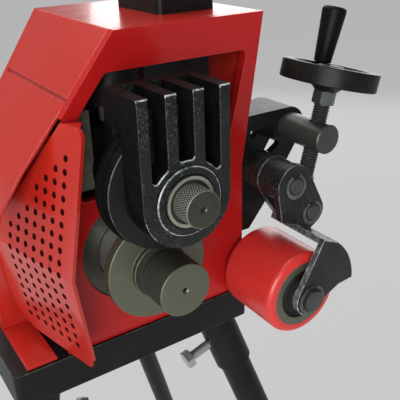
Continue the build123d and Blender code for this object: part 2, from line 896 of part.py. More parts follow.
def gear_outline(teeth, plane, x, z, turn):
    # Spur gear outline: involute flanks through four points, arcs at tips and roots
    pitch_r = gear_module * teeth / 2
    base_r = pitch_r * cos(radians(pressure_angle))
    tip_r = pitch_r + 0.9 * gear_module
    root_r = pitch_r - 1.25 * gear_module
    start_r = max(base_r, root_r)

    def spread(r):
        roll = acos(min(1.0, base_r / r))
        return tan(roll) - roll

    half_pitch = pi / (2 * teeth) - gear_backlash / (2 * pitch_r) + spread(pitch_r)

    def spot(r, angle):
        return (x + r * cos(angle), z + r * sin(angle))

    with BuildSketch(plane) as sheet:
        with BuildLine():
            for tooth in range(teeth):
                middle = radians(turn) + 2 * pi * tooth / teeth
                radii = [start_r + (tip_r - start_r) * k / 3 for k in range(4)]
                rising = [spot(r, middle - half_pitch + spread(r)) for r in radii]
                falling = [spot(r, middle + half_pitch - spread(r)) for r in radii[::-1]]
                foot = middle + half_pitch - spread(start_r)
                ahead = middle + 2 * pi / teeth - half_pitch + spread(start_r)
                Spline(*rising)
                ThreePointArc(rising[-1], spot(tip_r, middle), falling[0])
                Spline(*falling)
                if start_r > root_r:
                    Line(falling[-1], spot(root_r, foot))
                ThreePointArc(spot(root_r, foot), spot(root_r, (foot + ahead) / 2), spot(root_r, ahead))
                if start_r > root_r:
                    Line(spot(root_r, ahead), spot(start_r, ahead))
        make_face()
    return sheet.sketch


with BuildPart() as spindle_gear:
    extrude(gear_outline(gear_teeth, facing(gear_y), 0, 0, gear_angle), amount=-gear_wide)
    extrude(disc(facing(gear_y), journal_r), amount=-gear_wide, mode=Mode.SUBTRACT)
finish(spindle_gear.part, "spindle_gear")

with BuildPart() as pinion_shaft:
    mesh_turn = gear_angle + 180 + 180 / pinion_teeth
    teeth_y = gear_y - gear_gap
    teeth_long = gear_wide + 2 * gear_gap
    extrude(gear_outline(pinion_teeth, facing(teeth_y), pinion_x, pinion_z, mesh_turn), amount=-teeth_long)
    stub = disc(facing(teeth_y + teeth_long), pinion_shaft_r, pinion_x, pinion_z)
    extrude(stub, amount=teeth_y + teeth_long - back_face - reducer_deep / 2)
finish(pinion_shaft.part, "pinion_shaft")

# Gearmotor bolted behind the back plate
with BuildPart() as reducer_case:
    with BuildSketch(facing(back_face)) as square:
        with Locations((pinion_x, pinion_z)):
            RectangleRounded(reducer_wide, reducer_wide, reducer_wide / 8)
    extrude(square.sketch, amount=-reducer_deep)
    seat = disc(facing(back_face), pinion_shaft_r + running, pinion_x, pinion_z)
    extrude(seat, amount=-reducer_deep / 2 - cap_gap, mode=Mode.SUBTRACT)
finish(reducer_case.part, "reducer_case")

motor_y = back_face + reducer_deep
fan_y = motor_y + motor_long
fin_r = motor_r + fin_tall
pad_z = pinion_z + fin_r + fan_wall / 2
with BuildPart() as motor_body:
    extrude(disc(facing(motor_y), motor_r, pinion_x, pinion_z), amount=-motor_long)
    with BuildSketch(facing(motor_y + fin_tall)) as fins:
        with Locations((pinion_x, pinion_z)):
            with PolarLocations(0, fin_count):
                Rectangle(fin_r, fin_thick, align=(Align.MIN, Align.CENTER))
    extrude(fins.sketch, amount=2 * fin_tall - motor_long)
    with BuildSketch(facing(motor_y)) as shields:
        with Locations((pinion_x, pinion_z)):
            Circle(fin_r)
    extrude(shields.sketch, amount=-fin_tall)
    shield = disc(facing(fan_y - fin_tall), fin_r, pinion_x, pinion_z)
    extrude(shield, amount=-fin_tall)
    pad_y = motor_y + (motor_long - terminal_long) / 2
    pad = block(facing(pad_y), pinion_x - terminal_wide / 2, pinion_z, pinion_x + terminal_wide / 2, pad_z)
    extrude(pad, amount=-terminal_long)
finish(motor_body.part, "motor_body")

with BuildPart() as fan_cover:
    extrude(disc(facing(fan_y), fin_r, pinion_x, pinion_z), amount=-fan_long)
    room = disc(facing(fan_y), fin_r - fan_wall, pinion_x, pinion_z)
    extrude(room, amount=fan_wall - fan_long, mode=Mode.SUBTRACT)
    with BuildSketch(facing(fan_y + fan_long)) as slots:
        with Locations((pinion_x, pinion_z)):
            with PolarLocations(motor_r * 0.6, 16):
                SlotOverall(motor_r * 0.6, fin_thick + fan_wall / 2)
    extrude(slots.sketch, amount=2 * fan_wall, both=True, mode=Mode.SUBTRACT)
finish(fan_cover.part, "fan_cover")

with BuildPart() as terminal_box:
    middle_y = pad_y + terminal_long / 2
    with BuildSketch(level(pad_z)) as terminal_shape:
        with Locations((pinion_x, middle_y)):
            RectangleRounded(terminal_wide, terminal_long, box_wall)
    extrude(terminal_shape.sketch, amount=terminal_tall)
    with BuildSketch(level(pad_z)) as terminal_room:
        with Locations((pinion_x, middle_y)):
            Rectangle(terminal_wide - 2 * box_wall, terminal_long - 2 * box_wall)
    extrude(terminal_room.sketch, amount=terminal_tall - box_wall, mode=Mode.SUBTRACT)
    gland_z = pad_z + terminal_tall / 2
    extrude(disc(side(pinion_x), gland_bore, middle_y, gland_z), amount=-terminal_wide, mode=Mode.SUBTRACT)
finish(terminal_box.part, "terminal_box")

with BuildPart() as cable_gland:
    gland_x = pinion_x - terminal_wide / 2
    with BuildSketch(side(gland_x)) as gland_nut:
        with Locations((middle_y, gland_z)):
            RegularPolygon(gland_r * 1.15, 6)
    extrude(gland_nut.sketch, amount=-gland_long / 2)
    extrude(disc(side(gland_x - gland_long / 2), gland_r, middle_y, gland_z), amount=-gland_long / 2)
    fillet(cable_gland.edges().sort_by(Axis.X)[0], gland_r / 3)
    extrude(disc(side(gland_x), gland_bore, middle_y, gland_z), amount=-gland_long, mode=Mode.SUBTRACT)
finish(cable_gland.part, "cable_gland")

# Guide rails on the bulkhead: an L each, the lips holding the carriage's slide
lip_in = neck_half + rail_gap
with BuildPart() as guide_rails:
    for way in (-1, 1):
        ell = [
            (way * lip_in, rail_front_y),
            (way * (rail_in + rail_wide), rail_front_y),
            (way * (rail_in + rail_wide), bulkhead_y),
            (way * rail_in, bulkhead_y),
            (way * rail_in, rail_front_y + rail_lip),
            (way * lip_in, rail_front_y + rail_lip),
        ]
        extrude(outline(ell, level(rail_low_z)), amount=rail_top_z - rail_low_z)
    for x, z in rail_bolts:
        drill = disc(facing(bulkhead_y), frame_bolt_r + bolt_slack, x, z)
        extrude(drill, amount=frame_bolt_grip - bulkhead, mode=Mode.SUBTRACT)
finish(guide_rails.part, "guide_rails")

# Carriage: a cast clevis that holds the upper roll, with a neck back to the slide
cheek_rear_y = upper_front_y - cheek_gap
slot_rear_y = flange_wide + slot_rear_gap
slot_top = roll_axis_z + upper_ridge_r + slot_head
slide_front_y = rail_front_y + rail_lip + slide_gap
slide_rear_y = bulkhead_y - slide_gap
neck_y = cylinder_y - cylinder_r - cylinder_gap
bush_r = upper_bore_r + bush_wall
boss_y = carriage_front_y - boss_stand
boss_end_y = slot_rear_y + rear_boss_long
with BuildPart() as carriage:
    with BuildSketch(facing(carriage_front_y)) as shield:
        with Locations((0, roll_axis_z)):
            Circle(carriage_half)
            Rectangle(2 * carriage_half, carriage_top_z - roll_axis_z, align=(Align.CENTER, Align.MIN))
    extrude(shield.sketch, amount=carriage_front_y - bridge_rear_y)
    pocket_wide = rib_pitch - rib_wide
    with BuildSketch(facing(carriage_front_y)) as pockets:
        for x in (-rib_pitch, 0, rib_pitch):
            with Locations((x, roll_axis_z)):
                Rectangle(pocket_wide, carriage_top_z, align=(Align.CENTER, Align.MIN))
        with Locations((0, roll_axis_z)):
            Circle(pocket_r, mode=Mode.SUBTRACT)
        fillet(pockets.vertices(), pocket_corner)
    extrude(pockets.sketch, amount=-pocket_deep, mode=Mode.SUBTRACT)
    fillet(carriage.faces().sort_by(Axis.Y)[0].edges(), rib_edge)
    slot = [(cheek_rear_y, 0), (slot_rear_y, 0), (slot_rear_y, slot_top), (cheek_rear_y, slot_top)]
    extrude(outline(slot, side(0)), amount=2 * carriage_half, both=True, mode=Mode.SUBTRACT)
    neck = [
        (cheek_rear_y, slot_top),
        (cheek_rear_y, carriage_top_z),
        (bridge_rear_y, carriage_top_z),
        (neck_shoulder_y, neck_shoulder_z),
        (neck_y, slide_top_z),
        (slide_rear_y, slide_top_z),
        (slide_rear_y, slide_low_z),
        (slot_rear_y, slide_low_z),
        (slot_rear_y, slot_top),
    ]
    extrude(outline(neck, side(-neck_half)), amount=2 * neck_half)
    # Troughs that carry the pockets back between the tops of the ribs
    for x in (-rib_pitch, 0, rib_pitch):
        left = x - pocket_wide / 2
        trough = block(level(trough_z), left, carriage_front_y, left + pocket_wide, trough_rear_y)
        extrude(trough, amount=carriage_top_z - trough_z, mode=Mode.SUBTRACT)
    extrude(disc(facing(slot_rear_y), rear_boss_r, 0, roll_axis_z), amount=-rear_boss_long)
    foot = block(level(slide_low_z), -slide_half, slide_front_y, slide_half, slide_rear_y)
    extrude(foot, amount=slide_top_z - slide_low_z)
    extrude(disc(facing(carriage_front_y), boss_r, 0, roll_axis_z), amount=boss_stand)
    bore = disc(facing(boss_y), bush_r + fit, 0, roll_axis_z)
    extrude(bore, amount=boss_y - boss_end_y, mode=Mode.SUBTRACT)
    extrude(disc(level(slide_top_z), ram_r + fit, 0, cylinder_y), amount=-ram_seat, mode=Mode.SUBTRACT)
finish(carriage.part, "carriage")

bush_y = carriage_front_y - bush_stand
with BuildPart() as carriage_bushes:
    add(tube(bush_y, cheek_rear_y, bush_r, upper_bore_r, 0, roll_axis_z))
    add(tube(slot_rear_y, boss_end_y, bush_r, upper_bore_r, 0, roll_axis_z))
finish(carriage_bushes.part, "carriage_bushes")

with BuildPart() as upper_shaft:
    shaft_r = upper_bore_r - running
    profile = [
        (knob_end_y, 0),
        (knob_end_y, knob_r - roll_chamfer),
        (knob_end_y + roll_chamfer, knob_r),
        (bush_y + cap_gap, knob_r),
        (bush_y + cap_gap, shaft_r),
        (boss_end_y - cap_gap, shaft_r),
        (boss_end_y - cap_gap, 0),
    ]
    add(turned(profile, 0, roll_axis_z))
    drill = [(knob_end_y, 0), (knob_end_y, centre_drill_r), (knob_end_y + 2 * centre_drill_r, 0)]
    add(turned(drill, 0, roll_axis_z), mode=Mode.SUBTRACT)
finish(upper_shaft.part, "upper_shaft")

with BuildPart() as upper_roll:
    ridge_front_y = land_y + ridge_side_gap
    ridge_rear_y = -stop_land_wide - ridge_side_gap
    profile = [
        (cheek_rear_y + seam, upper_bore_r),
        (cheek_rear_y + seam, hub_r),
        (upper_front_y, hub_r),
        (upper_front_y, upper_r - roll_chamfer),
        (upper_front_y + roll_chamfer, upper_r),
        (ridge_front_y, upper_r),
        (ridge_front_y, upper_ridge_r),
        (ridge_rear_y, upper_ridge_r),
        (ridge_rear_y, upper_r),
        (upper_rear_y - roll_chamfer, upper_r),
        (upper_rear_y, upper_r - roll_chamfer),
        (upper_rear_y, hub_r),
        (slot_rear_y - seam, hub_r),
        (slot_rear_y - seam, upper_bore_r),
    ]
    add(turned(profile, 0, roll_axis_z))
finish(upper_roll.part, "upper_roll")

# Hydraulic cylinder under the crosshead, its ram in the carriage
cylinder_z = slide_top_z + lift_up + cylinder_gap
bore_z = cylinder_z + cylinder_wall
bore_r = cylinder_r - cylinder_wall
with BuildPart() as cylinder_body:
    extrude(disc(level(cylinder_z), cylinder_r, 0, cylinder_y), amount=crosshead_z - cylinder_z)
    extrude(disc(level(bore_z), bore_r, 0, cylinder_y), amount=crosshead_z - bore_z, mode=Mode.SUBTRACT)
    extrude(disc(level(cylinder_z), ram_r + running, 0, cylinder_y), amount=cylinder_wall, mode=Mode.SUBTRACT)
finish(cylinder_body.part, "cylinder_body")

with BuildPart() as ram:
    seat_z = slide_top_z - ram_seat
    piston_z = bore_z + lift_down + cap_gap
    extrude(disc(level(seat_z), ram_r, 0, cylinder_y), amount=piston_z - seat_z)
    extrude(disc(level(piston_z), bore_r - running, 0, cylinder_y), amount=piston_tall)
finish(ram.part, "ram")

with BuildPart() as crosshead_bar:
    bar_left = slope_x(crosshead_z + crosshead) + cover_flat + seam
    bar = block(level(crosshead_z), bar_left, cylinder_y - cylinder_r, right_cheek_in, bulkhead_y)
    extrude(bar, amount=crosshead)
finish(crosshead_bar.part, "crosshead")

# Hand pump on the roof
pump_top = roof_z + pump_tall
lever_y = pump_y - lever_pitch / 2
lever_z = pump_top + lever_pivot_z
plunger_y = pump_y + lever_pitch / 2
knob_z = roof_z + pump_tall / 2
pump_right = pump_x + pump_wide / 2
ear_in = lever_bar / 2 + lever_side_gap
with BuildPart() as pump_block:
    with BuildSketch(level(roof_z)) as pump_foot:
        with Locations((pump_x, pump_y)):
            RectangleRounded(pump_wide, pump_deep, pump_corner)
    extrude(pump_foot.sketch, amount=pump_tall)
    for start in (pump_x - ear_in - ear_thick, pump_x + ear_in):
        with BuildSketch(side(start)) as ear:
            with Locations((lever_y, lever_z)):
                Circle(ear_r)
                Rectangle(2 * ear_r, lever_pivot_z, align=(Align.CENTER, Align.MAX))
        extrude(ear.sketch, amount=ear_thick)
    drill = disc(side(pump_x), lever_pin_r + running, lever_y, lever_z)
    extrude(drill, amount=pump_wide, both=True, mode=Mode.SUBTRACT)
    drill = disc(level(pump_top), plunger_r + running, pump_x, plunger_y)
    extrude(drill, amount=-plunger_deep - plunger_rise, mode=Mode.SUBTRACT)
    drill = disc(side(pump_right), knob_stem_r + running, pump_y, knob_z)
    extrude(drill, amount=-knob_stem_long - cap_gap, mode=Mode.SUBTRACT)
finish(pump_block.part, "pump_block")

with BuildPart() as pump_lever:
    with BuildSketch(side(pump_x - lever_bar / 2)) as bar_shape:
        with Locations((lever_y, lever_z)):
            Circle(lever_bar / 2)
            Rectangle(lever_bar_long, lever_bar, align=(Align.MIN, Align.CENTER))
    extrude(bar_shape.sketch, amount=lever_bar)
    pin_half = ear_in + ear_thick + cap_gap
    extrude(disc(side(pump_x - pin_half), lever_pin_r, lever_y, lever_z), amount=2 * pin_half)
    rod = disc(facing(lever_y + lever_bar_long), lever_rod_r, pump_x, lever_z)
    extrude(rod, amount=lever_bar_long - lever_long)
    hold = disc(facing(lever_y + lever_long - lever_grip_long), lever_grip_r, pump_x, lever_z)
    extrude(hold, amount=-lever_grip_long)
    fillet(rims(pump_lever, lever_grip_r), lever_grip_r / 3)
finish(pump_lever.part, "pump_lever")

with BuildPart() as pump_plunger:
    tip_z = lever_z - lever_bar / 2 - lever_gap
    low_z = pump_top - plunger_deep
    extrude(disc(level(low_z), plunger_r, pump_x, plunger_y), amount=tip_z - plunger_tip - low_z)
    extrude(disc(level(tip_z - plunger_tip), plunger_tip_r, pump_x, plunger_y), amount=plunger_tip)
finish(pump_plunger.part, "pump_plunger")

with BuildPart() as release_knob:
    stem = disc(side(pump_right - knob_stem_long), knob_stem_r, pump_y, knob_z)
    extrude(stem, amount=knob_stem_long + cap_gap)
    extrude(disc(side(pump_right + cap_gap), release_r, pump_y, knob_z), amount=release_long)
    chamfer(release_knob.edges().sort_by(Axis.X)[-1], roll_chamfer)
finish(release_knob.part, "release_knob")

# Control box on the right cheek with two push buttons
box_face = right_x + box_deep
button_face = box_face + button_travel + button_gap
button_root = box_face - 3 * box_wall
start_z = box_z + button_pitch / 2
stop_z = box_z - button_pitch / 2
with BuildPart() as control_box:
    with BuildSketch(side(right_x)) as box_shape:
        with Locations((box_y, box_z)):
            RectangleRounded(box_wide, box_tall, 2 * box_wall)
    extrude(box_shape.sketch, amount=box_deep)
    with BuildSketch(side(right_x)) as box_room:
        with Locations((box_y, box_z)):
            Rectangle(box_wide - 2 * box_wall, box_tall - 2 * box_wall)
    extrude(box_room.sketch, amount=box_deep - box_wall, mode=Mode.SUBTRACT)
    for z in (start_z, stop_z):
        extrude(disc(side(box_face), button_stem_r + running, box_y, z), amount=-box_wall, mode=Mode.SUBTRACT)
finish(control_box.part, "control_box")

with BuildPart() as start_button:
    extrude(disc(side(button_root), button_stem_r, box_y, start_z), amount=button_face - button_root)
    extrude(disc(side(button_face), button_r, box_y, start_z), amount=button_tall)
    fillet(start_button.edges().sort_by(Axis.X)[-1], roll_chamfer)
finish(start_button.part, "start_button")

with BuildPart() as stop_button:
    extrude(disc(side(button_root), button_stem_r, box_y, stop_z), amount=button_face - button_root)
    extrude(disc(side(button_face), stop_button_r, box_y, stop_z), amount=stop_button_tall)
    fillet(stop_button.edges().sort_by(Axis.X)[-1], stop_button_tall / 2)
finish(stop_button.part, "stop_button")

# Stabilizer bracket: a flange on the right cheek, two windowed plates and a sleeve for the barrel
sleeve_r = barrel_r + barrel_wall
bracket_top = barrel_z + sleeve_r
bracket_out = right_x + bracket_sheet
bracket_rear_y = bracket_y + bracket_deep
with BuildPart() as stabilizer_bracket:
    rounds = [(barrel_x, barrel_z, sleeve_r), (pivot_x, pivot_z, lug_r)]
    corners = [(right_x, bracket_top), (right_x, bracket_low_z)]
    corners += [(bracket_tip_x, bracket_low_z), (bracket_knee_x, bracket_knee_z)]
    plates = hull(facing(bracket_y), rounds, corners)
    extrude(plates, amount=-bracket_deep)
    hollow = block(
        level(bracket_low_z),
        bracket_out,
        bracket_y + bracket_sheet,
        barrel_x + sleeve_r,
        bracket_rear_y - bracket_sheet,
    )
    extrude(hollow, amount=bracket_top - bracket_web - bracket_low_z, mode=Mode.SUBTRACT)
    with BuildSketch(facing(bracket_y)) as bracket_window:
        with BuildLine():
            Polyline(
                (bracket_out + bracket_sheet / 2, barrel_z + bracket_web / 2),
                (barrel_x, barrel_z + bracket_web / 2),
                (barrel_x, barrel_z - sleeve_r / 2),
                (pivot_x + 0.8 * lug_r, pivot_z + 0.55 * lug_r),
                (bracket_out + bracket_sheet / 2, pivot_z + 1.1 * lug_r),
                close=True,
            )
        make_face()
        with Locations((barrel_x, barrel_z)):
            Circle(sleeve_r, mode=Mode.SUBTRACT)
        fillet(bracket_window.vertices(), bracket_sheet / 4)
    extrude(bracket_window.sketch, amount=-bracket_deep, mode=Mode.SUBTRACT)
    add(tube(bracket_y, bracket_rear_y, sleeve_r, barrel_r, barrel_x, barrel_z))
    hole = disc(facing(bracket_y), barrel_r + running, barrel_x, barrel_z)
    extrude(hole, amount=-bracket_deep, mode=Mode.SUBTRACT)
    hole = disc(facing(bracket_y), pivot_pin_r + fit, pivot_x, pivot_z)
    extrude(hole, amount=-bracket_deep, mode=Mode.SUBTRACT)
    for z in bracket_bolts:
        drill = disc(side(right_x), frame_bolt_r + bolt_slack, bracket_bolt_y, z)
        extrude(drill, amount=bracket_sheet, mode=Mode.SUBTRACT)
finish(stabilizer_bracket.part, "stabilizer_bracket")

# Adjusting screw through the barrel, from the eye up to the handwheel
screw_tilt = atan((barrel_x - eye_x) / (barrel_z - eye_z))


def screw_plane(along, out=0.0, turn=0.0):
    # Plane square to the screw, along it from the eye pin, set out from its axis at an angle
    across = Vector(cos(screw_tilt), 0, -sin(screw_tilt))
    up = Vector(sin(screw_tilt), 0, cos(screw_tilt))
    start = Vector(eye_x, stop_y + screw_y, spindle_height + eye_z) + up * along
    start += (across * cos(radians(turn)) + Vector(0, 1, 0) * sin(radians(turn))) * out
    return Plane(origin=start, x_dir=across, z_dir=up)


wheel_top = wheel_z + wheel_thick
nut_top = screw_nut_z + screw_nut_long
with BuildPart() as screw_barrel:
    nose_y = screw_y - barrel_nose
    tail_y = bracket_rear_y + seam + barrel_tail
    profile = [
        (nose_y, 0),
        (nose_y, barrel_r - roll_chamfer),
        (nose_y + roll_chamfer, barrel_r),
        (bracket_rear_y + seam, barrel_r),
        (bracket_rear_y + seam, sleeve_r),
        (tail_y, sleeve_r),
        (tail_y, 0),
    ]
    add(turned(profile, barrel_x, barrel_z))
    extrude(disc(screw_plane(0), screw_r + screw_slack), amount=wheel_top, mode=Mode.SUBTRACT)
finish(screw_barrel.part, "screw_barrel")

with BuildPart() as screw_eye:
    eye_y = screw_y - eye_wide / 2
    extrude(disc(facing(eye_y), eye_r, eye_x, eye_z), amount=-eye_wide)
    extrude(disc(screw_plane(0), eye_collar_r), amount=eye_collar_long)
    extrude(disc(facing(eye_y), eye_pin_r + eye_slack, eye_x, eye_z), amount=-eye_wide, mode=Mode.SUBTRACT)
    socket = disc(screw_plane(eye_collar_long - screw_tip_long), screw_tip_r + running)
    extrude(socket, amount=screw_tip_long, mode=Mode.SUBTRACT)
finish(screw_eye.part, "screw_eye")

with BuildPart() as stabilizer_screw:
    thread_z = eye_collar_long + seam
    profile = [(0, eye_collar_long - screw_tip_long + seam)]
    profile += [(screw_tip_r, eye_collar_long - screw_tip_long + seam), (screw_tip_r, thread_z)]
    for turn in range(int((screw_nut_z - thread_z) / screw_pitch)):
        profile += [(screw_r, thread_z + turn * screw_pitch)]
        profile += [(screw_r - thread_deep, thread_z + (turn + 0.5) * screw_pitch)]
    profile += [(screw_r, screw_nut_z), (screw_r, nut_top), (screw_spigot_r, nut_top)]
    profile += [(screw_spigot_r, wheel_top), (0, wheel_top)]
    add(spun(profile, screw_plane(0)))
    with BuildSketch(screw_plane(screw_nut_z)) as nut_shape:
        RegularPolygon(screw_nut_wide / 2, 6, major_radius=False)
    extrude(nut_shape.sketch, amount=screw_nut_long)
finish(stabilizer_screw.part, "stabilizer_screw")

with BuildPart() as handwheel:
    floor_z = wheel_top - wheel_recess
    profile = [
        (screw_spigot_r + fit, nut_top),
        (wheel_foot_r, nut_top),
        (wheel_boss_r, wheel_z),
        (wheel_r, wheel_z),
        (wheel_r, wheel_top),
        (wheel_r - wheel_rim, wheel_top),
        (wheel_r - wheel_rim - wheel_recess, floor_z),
        (wheel_boss_r, floor_z),
        (wheel_foot_r, wheel_top),
        (screw_spigot_r + fit, wheel_top),
    ]
    add(spun(profile, screw_plane(0)))
    fillet(rims(handwheel, wheel_r), wheel_edge)
    grip_root = wheel_top + grip_long - grip_top_r
    extrude(disc(screw_plane(floor_z, grip_at, grip_turn), grip_pin_r), amount=grip_root - floor_z)
finish(handwheel.part, "handwheel")

with BuildPart() as handwheel_grip:
    start = wheel_top + seam
    profile = [
        (grip_pin_r + running, 0),
        (grip_r, 0),
        (grip_top_r, grip_long),
        (0, grip_long),
        (0, grip_root - wheel_top),
        (grip_pin_r + running, grip_root - wheel_top),
    ]
    add(spun(profile, screw_plane(start, grip_at, grip_turn)))
    fillet(rims(handwheel_grip, grip_top_r), grip_r / 2)
finish(handwheel_grip.part, "handwheel_grip")

# Stabilizer arm: two link plates joined by a hub, swinging on the pivot pin
arm_front_y = screw_y - eye_wide / 2 - arm_side_gap - arm_plate
arm_rear_y = screw_y + eye_wide / 2 + arm_side_gap
arm_end_y = arm_rear_y + arm_plate
toe = (arm_toe_x, arm_toe_z)
root_at = yoke_root / hypot(arm_toe_x - arm_foot_x, arm_toe_z - arm_foot_z)
web_root = (
    arm_foot_x + root_at * (arm_toe_x - arm_foot_x),
    arm_foot_z + root_at * (arm_toe_z - arm_foot_z),
)
with BuildPart() as stabilizer_arm:
    rounds = [(pivot_x, pivot_z, lug_r), (eye_x, eye_z, eye_lobe_r)]
    for y, foot in ((arm_front_y, (arm_foot_x, arm_foot_z)), (arm_rear_y, web_root)):
        extrude(hull(facing(y), rounds, [foot, toe]), amount=-arm_plate)
    extrude(disc(facing(arm_front_y), arm_hub_r, pivot_x, pivot_z), amount=arm_front_y - arm_rear_y)
    with BuildSketch(facing(arm_front_y)) as hub:
        with Locations((pivot_x, pivot_z)):
            Circle(arm_tube_r)
            # Flat on the side of the screw, which swings past it
            with Locations(Location((0, 0), -degrees(screw_tilt))):
                with Locations((arm_hub_flat, 0)):
                    Rectangle(arm_tube_r, 2 * arm_tube_r, align=(Align.MIN, Align.CENTER), mode=Mode.SUBTRACT)
    extrude(hub.sketch, amount=arm_front_y - arm_rear_y)
    extrude(disc(facing(arm_end_y), arm_tube_r, pivot_x, pivot_z), amount=arm_end_y + seam - bracket_y)
    hole = disc(facing(arm_front_y), pivot_pin_r + running, pivot_x, pivot_z)
    extrude(hole, amount=arm_front_y - bracket_y, mode=Mode.SUBTRACT)
    hole = disc(facing(arm_front_y), eye_pin_r + fit, eye_x, eye_z)
    extrude(hole, amount=arm_front_y - arm_end_y, mode=Mode.SUBTRACT)
finish(stabilizer_arm.part, "stabilizer_arm")

with BuildPart() as pivot_pin:
    clip_y = arm_front_y - seam - clip_thick
    pin_end = bracket_rear_y + pin_head
    pin_y = arm_front_y - pin_head
    extrude(disc(facing(pin_y), pivot_pin_r, pivot_x, pivot_z), amount=pin_y - pin_end)
    add(tube(clip_y, clip_y + clip_thick, pivot_pin_r + clip_ring, pivot_pin_r, pivot_x, pivot_z))
finish(pivot_pin.part, "pivot_pin")

with BuildPart() as eye_pin:
    pin_long = arm_end_y - arm_front_y + 2 * pin_head
    extrude(disc(facing(arm_front_y - pin_head), eye_pin_r, eye_x, eye_z), amount=-pin_long)
finish(eye_pin.part, "eye_pin")

# Yoke: a web under the link plates with one leg down to the roller pin
with BuildPart() as stabilizer_yoke:
    web = folded([web_root, toe], -yoke_strip)
    extrude(outline(web, facing(yoke_front_y)), amount=yoke_front_y - arm_end_y)
    tail = (yoke_tail_x, yoke_tail_z)
    boss_left = (roller_x - roller_boss_r * cos(pi / 5), roller_z + roller_boss_r * sin(pi / 5))
    boss_right = (roller_x + roller_boss_r, roller_z - roller_boss_r / 3)
    with BuildSketch(facing(yoke_front_y)) as leg_shape:
        with BuildLine():
            ThreePointArc(toe, (yoke_brow_x, yoke_brow_z), tail)
            Polyline(
                tail,
                (yoke_heel_x, yoke_heel_z),
                boss_right,
                (roller_x, roller_z),
                boss_left,
                web_root,
                toe,
            )
        make_face()
        with Locations((roller_x, roller_z)):
            Circle(roller_boss_r)
    extrude(leg_shape.sketch, amount=-yoke_strip)
    hole = disc(facing(yoke_front_y), roller_pin_r + fit, roller_x, roller_z)
    extrude(hole, amount=-yoke_strip, mode=Mode.SUBTRACT)
finish(stabilizer_yoke.part, "stabilizer_yoke")

tyre_y = yoke_front_y + yoke_strip + yoke_side_gap
tyre_end_y = tyre_y + tyre_long
with BuildPart() as roller_pin:
    pin_y = yoke_front_y - roller_pin_nose
    pin_end = tyre_end_y + seam + clip_thick + roller_pin_tail
    extrude(disc(facing(pin_y), roller_pin_r, roller_x, roller_z), amount=pin_y - pin_end)
    chamfer(roller_pin.edges().sort_by(Axis.Y)[0], roll_chamfer)
finish(roller_pin.part, "roller_pin")

with BuildPart() as circlips:
    for y in (arm_front_y - seam - clip_thick, arm_end_y + seam):
        add(tube(y, y + clip_thick, eye_pin_r + clip_ring, eye_pin_r, eye_x, eye_z))
    for y in (yoke_front_y - seam - clip_thick, tyre_end_y + seam):
        add(tube(y, y + clip_thick, roller_pin_r + clip_ring, roller_pin_r, roller_x, roller_z))
finish(circlips.part, "circlips")

with BuildPart() as roller_core:
    core_y = yoke_front_y + yoke_strip + seam
    profile = [
        (core_y, roller_pin_r + running),
        (core_y, roller_boss_r),
        (tyre_y + core_recess, roller_boss_r),
        (tyre_y + core_recess, core_r - core_rim),
        (tyre_y, core_r - core_rim),
        (tyre_y, core_r),
        (tyre_end_y, core_r),
        (tyre_end_y, core_r - core_rim),
        (tyre_end_y - core_recess, core_r - core_rim),
        (tyre_end_y - core_recess, roller_boss_r),
        (tyre_end_y, roller_boss_r),
        (tyre_end_y, roller_pin_r + running),
    ]
    add(turned(profile, roller_x, roller_z))
finish(roller_core.part, "roller_core")

with BuildPart() as roller_tyre:
    add(tube(tyre_y, tyre_end_y, tyre_r, core_r, roller_x, roller_z))
    fillet(rims(roller_tyre, tyre_r), tyre_edge)
finish(roller_tyre.part, "roller_tyre")

# Frame bolts: guard spacers, guide rails and stabilizer bracket
with BuildPart() as frame_bolts:
    seats = [(side(left_cheek_in), y, z, 1) for y, z in guard_bolts]
    seats += [(facing(bulkhead_y + bulkhead), x, z, -1) for x, z in rail_bolts]
    seats += [(side(bracket_out), bracket_bolt_y, z, 1) for z in bracket_bolts]
    for plane, x, y, way in seats:
        with BuildSketch(plane) as bolt_hex:
            with Locations((x, y)):
                RegularPolygon(frame_bolt_head_r, 6)
        extrude(bolt_hex.sketch, amount=way * frame_bolt_head)
        extrude(disc(plane, frame_bolt_r, x, y), amount=way * (seam - frame_bolt_grip))
finish(frame_bolts.part, "frame_bolts")
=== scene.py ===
import json
import math

import bmesh
import bpy
import numpy as np
from mathutils import Matrix, Vector


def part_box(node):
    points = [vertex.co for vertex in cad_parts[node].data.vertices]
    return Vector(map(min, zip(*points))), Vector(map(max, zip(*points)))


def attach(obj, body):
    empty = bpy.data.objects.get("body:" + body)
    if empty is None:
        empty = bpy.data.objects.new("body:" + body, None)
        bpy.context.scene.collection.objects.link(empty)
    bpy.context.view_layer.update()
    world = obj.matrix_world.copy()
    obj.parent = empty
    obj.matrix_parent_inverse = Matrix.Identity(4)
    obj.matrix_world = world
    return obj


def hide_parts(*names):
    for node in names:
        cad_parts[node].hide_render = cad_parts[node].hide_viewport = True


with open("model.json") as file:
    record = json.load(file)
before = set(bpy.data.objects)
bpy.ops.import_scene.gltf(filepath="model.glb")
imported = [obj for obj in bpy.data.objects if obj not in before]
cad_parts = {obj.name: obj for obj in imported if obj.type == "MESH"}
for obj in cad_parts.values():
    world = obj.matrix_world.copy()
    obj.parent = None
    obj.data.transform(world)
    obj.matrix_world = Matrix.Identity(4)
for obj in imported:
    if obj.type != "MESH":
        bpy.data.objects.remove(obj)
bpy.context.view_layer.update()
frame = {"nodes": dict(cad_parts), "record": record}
nodes = frame["nodes"]
print("frame loaded,", len(nodes), "nodes")

mm = 0.001
back = (0, 1, 0)  # along the spindle, away from the operator
slotOf = {part["node"]: part["material_slot"] for part in frame["record"]["subparts"]}
bodyOf = {node: body for body, members in frame["record"]["behaviour"]["bodies"].items() for node in members}

# Where things are, read from the frame: the spindle's axis and the pipe stop, which is the flange's front
flangeThick = 10.0
rollLow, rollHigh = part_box("drive_roll")
spindleZ = (rollLow[2] + rollHigh[2]) / 2
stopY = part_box("spindle")[0][1] - flangeThick * mm


